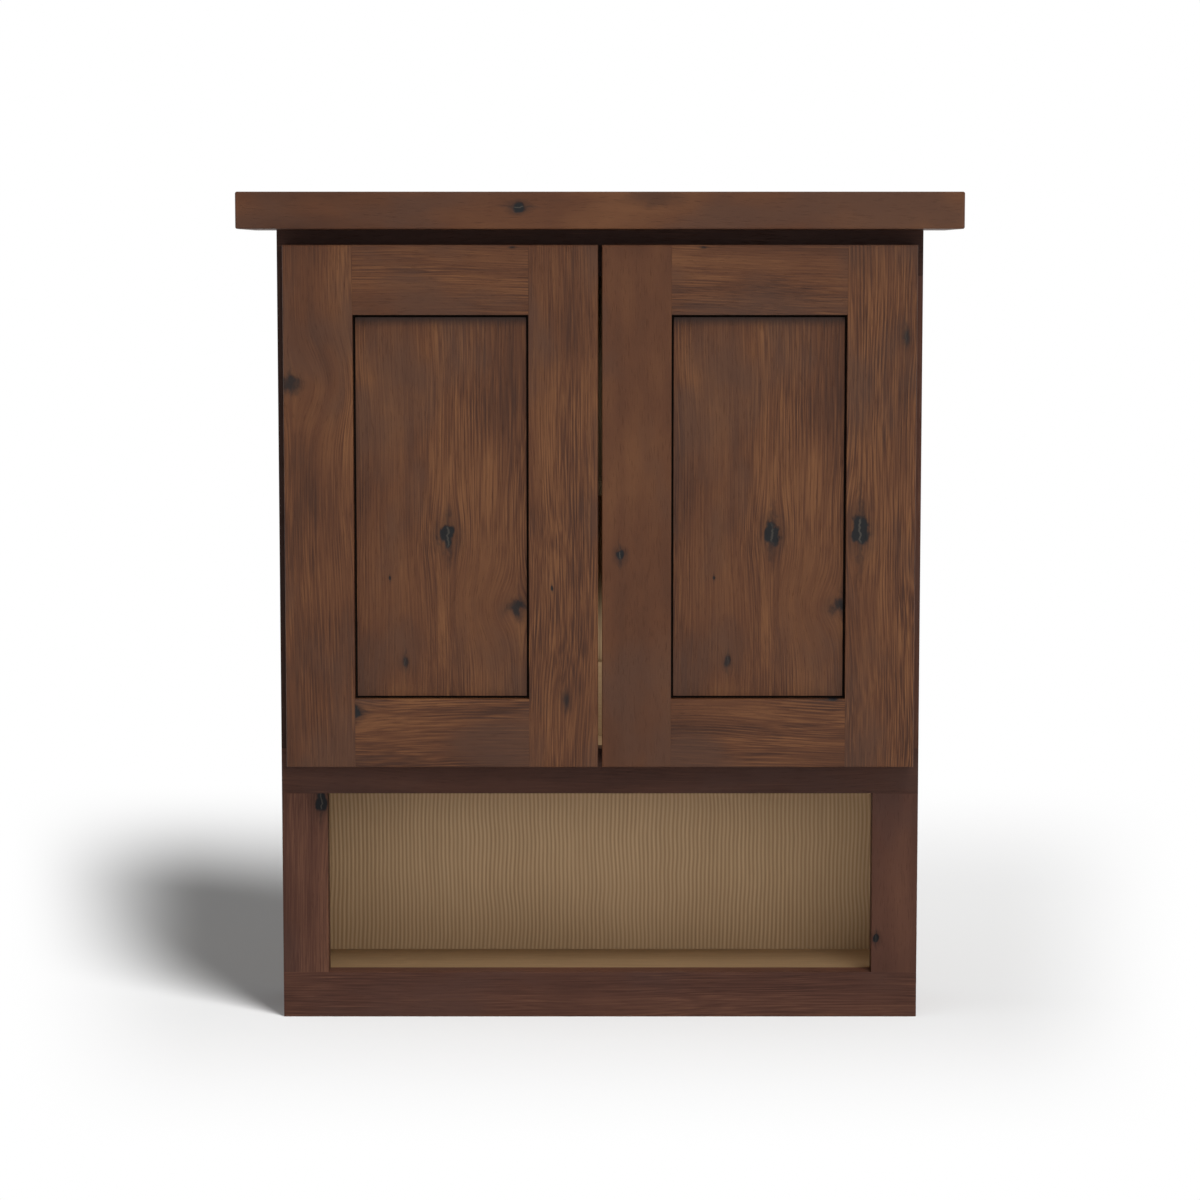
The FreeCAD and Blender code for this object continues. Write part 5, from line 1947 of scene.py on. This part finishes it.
@dataclass
class Studio:
    """Floor, light and camera."""

    BAY_STRENGTHS: ClassVar[dict[str, float]] = {"divider_deck": 0.085, "adjustable_shelf": 0.007}

    camera_place: Point = (0.0, -2789.3 * MM, 636.7 * MM)
    camera_pitch: float = math.radians(5.852)
    camera_reach: float = 100.0
    lens: float = 100.0
    sensor: float = 36.0
    key: SunLamp = SunLamp("key_light", 0.275, 21, 14, 50)
    overhead: SunLamp = SunLamp("overhead_light", 0.36, 24, 62, 20)
    ground: SunLamp = SunLamp("ground_light", 4.17, 38.7, 17.7, 33.3)
    ground_fill: SunLamp = SunLamp("ground_fill_light", 0.256, -57.8, 37.6, 75.3)
    bay_size: Pair = (300 * MM, 110 * MM)
    bay_gap: float = 13.75 * MM
    bay_lift: float = 60 * MM
    bay_tilt: float = math.radians(52)
    end_strength: float = 0.01
    end_width: float = 10 * MM
    end_share: float = 0.8
    end_inset: float = 10 * MM
    end_gap: float = 3 * MM
    sky: float = 0.2
    floor_size: float = 40.0
    floor_tone: float = 0.525
    floor_bounce: float = 0.556
    fade_sides: Pair = (0.117, 0.178)
    fade_back: Pair = (0.51, 1.24)
    fade_front: Pair = (-0.455, 0.045)

    def build(self) -> None:
        """Set up the picture."""
        self.add_floor()
        self.add_light()
        self.add_world()
        self.add_camera()
        bpy.context.scene.view_settings.view_transform = "Standard"

    def add_floor(self) -> None:
        """Pale floor that keeps the cabinet's shadow and fades to white away from it."""
        bpy.ops.object.select_all(action="DESELECT")
        bpy.ops.mesh.primitive_plane_add(size=self.floor_size)
        floor = bpy.context.object
        floor.name = "floor"
        material, g, shader = new_material("pale_floor")
        g.tree.nodes.remove(shader)
        seen = self.seen_rays(g)
        paint = g.node("ShaderNodeBsdfDiffuse")
        g.fill(paint, Color=g.blend(seen, (self.floor_bounce,) * 3, (self.floor_tone,) * 3))
        white = g.node("ShaderNodeEmission")
        faded = g.math("SUBTRACT", 1.0, self.kept_floor(g))
        floor_and_white = g.node("ShaderNodeMixShader")
        g.fill(floor_and_white, g.math("MULTIPLY", seen, faded), paint.outputs[0], white.outputs[0])
        g.fill(g.tree.nodes["Material Output"], Surface=floor_and_white.outputs[0])
        floor.data.materials.append(material)

    def kept_floor(self, g: Graph) -> Socket:
        """How much of the floor shows: all of it round the cabinet, none far behind, before or beside it.

        Args:
            g: the floor's graph.

        Returns:
            Socket from 0, white, to 1, floor.
        """
        x, y, _ = g.parts(g.node("ShaderNodeTexCoord").outputs["Object"])
        along, down = math.cos(self.camera_pitch), math.sin(self.camera_pitch)
        start = self.camera_place[2] * down - self.camera_place[1] * along
        distance = g.math("MULTIPLY_ADD", y, along, start)
        aside = g.math("DIVIDE", g.math("ABSOLUTE", x), distance)
        kept = g.ramp(aside, *self.fade_sides, 1.0, 0.0)
        kept = g.math("MULTIPLY", kept, g.ramp(y, *self.fade_back, 1.0, 0.0))
        return g.math("MULTIPLY", kept, g.ramp(y, *self.fade_front))

    @staticmethod
    def seen_rays(g: Graph) -> Socket:
        """Rays that show the background: straight from the camera, or by way of gloss and glass.

        Args:
            g: the graph of a floor or a world.

        Returns:
            Socket that is 1 for such a ray.
        """
        rays = g.node("ShaderNodeLightPath")
        shown = g.math("MAXIMUM", rays.outputs["Is Camera Ray"], rays.outputs["Is Glossy Ray"])
        return g.math("MAXIMUM", shown, rays.outputs["Is Transmission Ray"])

    def add_light(self) -> None:
        """Key and overhead lights on the cabinet, two on the floor, faint ones in the bays."""
        self.link_lamp(self.key.add(), LampRole.LIT, LampList.ALL_BUT, ["floor", "cubby_floor_board"])
        for lamp in (self.ground, self.ground_fill):
            self.link_lamp(lamp.add(), LampRole.LIT, LampList.ONLY, ["floor"])
        overhead = self.overhead.add()
        self.link_lamp(overhead, LampRole.LIT, LampList.ALL_BUT, ["floor", "frame_top_rail_board"])
        self.link_lamp(overhead, LampRole.SHADING, LampList.ALL_BUT, ["top_slab_board", "top_slab"])
        for node, strength in self.BAY_STRENGTHS.items():
            self.add_bay_light(node, strength)
        self.add_end_light()

    @staticmethod
    def link_lamp(lamp: bpy.types.Object, role: LampRole, listing: LampList, names: Sequence[str]) -> None:
        """Choose what a lamp lights, or what blocks it.

        Args:
            lamp: the lamp.
            role: whether the objects are lit by it or cast its shadows.
            listing: whether only they are meant, or all but them.
            names: the objects' names.
        """
        linked = bpy.data.collections.new(f"{lamp.name}_{role.value}s")
        for name in names:
            linked.objects.link(bpy.data.objects[name])
        for entry in linked.collection_objects:
            entry.light_linking.link_state = listing.value
        setattr(lamp.light_linking, f"{role.value}_collection", linked)

    def add_bay_light(self, node: str, strength: float) -> None:
        """Faint light low inside a bay, seen as a pale line between the closed doors.

        Args:
            node: the deck under the bay.
            strength: power of the lamp.
        """
        _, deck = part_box(node)
        _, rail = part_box("frame_mid_rail")
        place = (0.0, rail.y + self.bay_gap, deck.z + self.bay_lift)
        self.add_panel_light(f"bay_light_{node}", place, self.bay_tilt, self.bay_size, strength)

    def add_end_light(self) -> None:
        """Faint upright light behind the cubby's right stile, for that end of the back."""
        low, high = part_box("frame_lower_right_stile")
        place = (low.x + self.end_inset, high.y + self.end_gap, (low.z + high.z) / 2)
        size = (self.end_width, self.end_share * (high.z - low.z))
        self.add_panel_light("cubby_end_light", place, QUARTER_TURN, size, self.end_strength)

    @staticmethod
    def add_panel_light(name: str, place: Point, tilt: float, size: Pair, strength: float) -> None:
        """Add a flat lamp that is not seen itself.

        Args:
            name: the lamp's name.
            place: its middle.
            tilt: turn from straight down towards the back.
            size: width and height.
            strength: power.
        """
        bpy.ops.object.light_add(type="AREA", location=place, rotation=(tilt, 0.0, 0.0))
        lamp = bpy.context.object
        lamp.name = name
        lamp.data.shape = "RECTANGLE"
        lamp.data.size, lamp.data.size_y = size
        lamp.data.energy = strength
        lamp.visible_camera = False

    def add_world(self) -> None:
        """White surroundings that light softly and show as white."""
        world = bpy.data.worlds.new("white_room")
        bpy.context.scene.world = world
        world.use_nodes = True
        g = Graph(world.node_tree)
        level = g.ramp(self.seen_rays(g), 0.0, 1.0, self.sky, 1.0, smooth=False)
        g.fill(g.tree.nodes["Background"], Color=(1.0, 1.0, 1.0, 1.0), Strength=level)

    def add_camera(self) -> None:
        """Camera at the photograph's place."""
        turn = (QUARTER_TURN - self.camera_pitch, 0.0, 0.0)
        bpy.ops.object.camera_add(location=self.camera_place, rotation=turn)
        camera = bpy.context.object
        camera.data.lens = self.lens
        camera.data.sensor_width = self.sensor
        camera.data.clip_end = self.camera_reach
        bpy.context.scene.camera = camera


def main() -> None:
    """Build the cabinet piece by piece."""
    logging.basicConfig(level=logging.INFO, format="%(name)s: %(message)s")
    shop = Workshop()
    TopSlab(shop).build()
    FaceFrame(shop).build()
    for side in Side:
        ShakerDoor(shop, side).build()
    Carcass(shop).build()
    Hardware(shop).build()
    Studio().build()


if __name__ == "__main__":
    main()
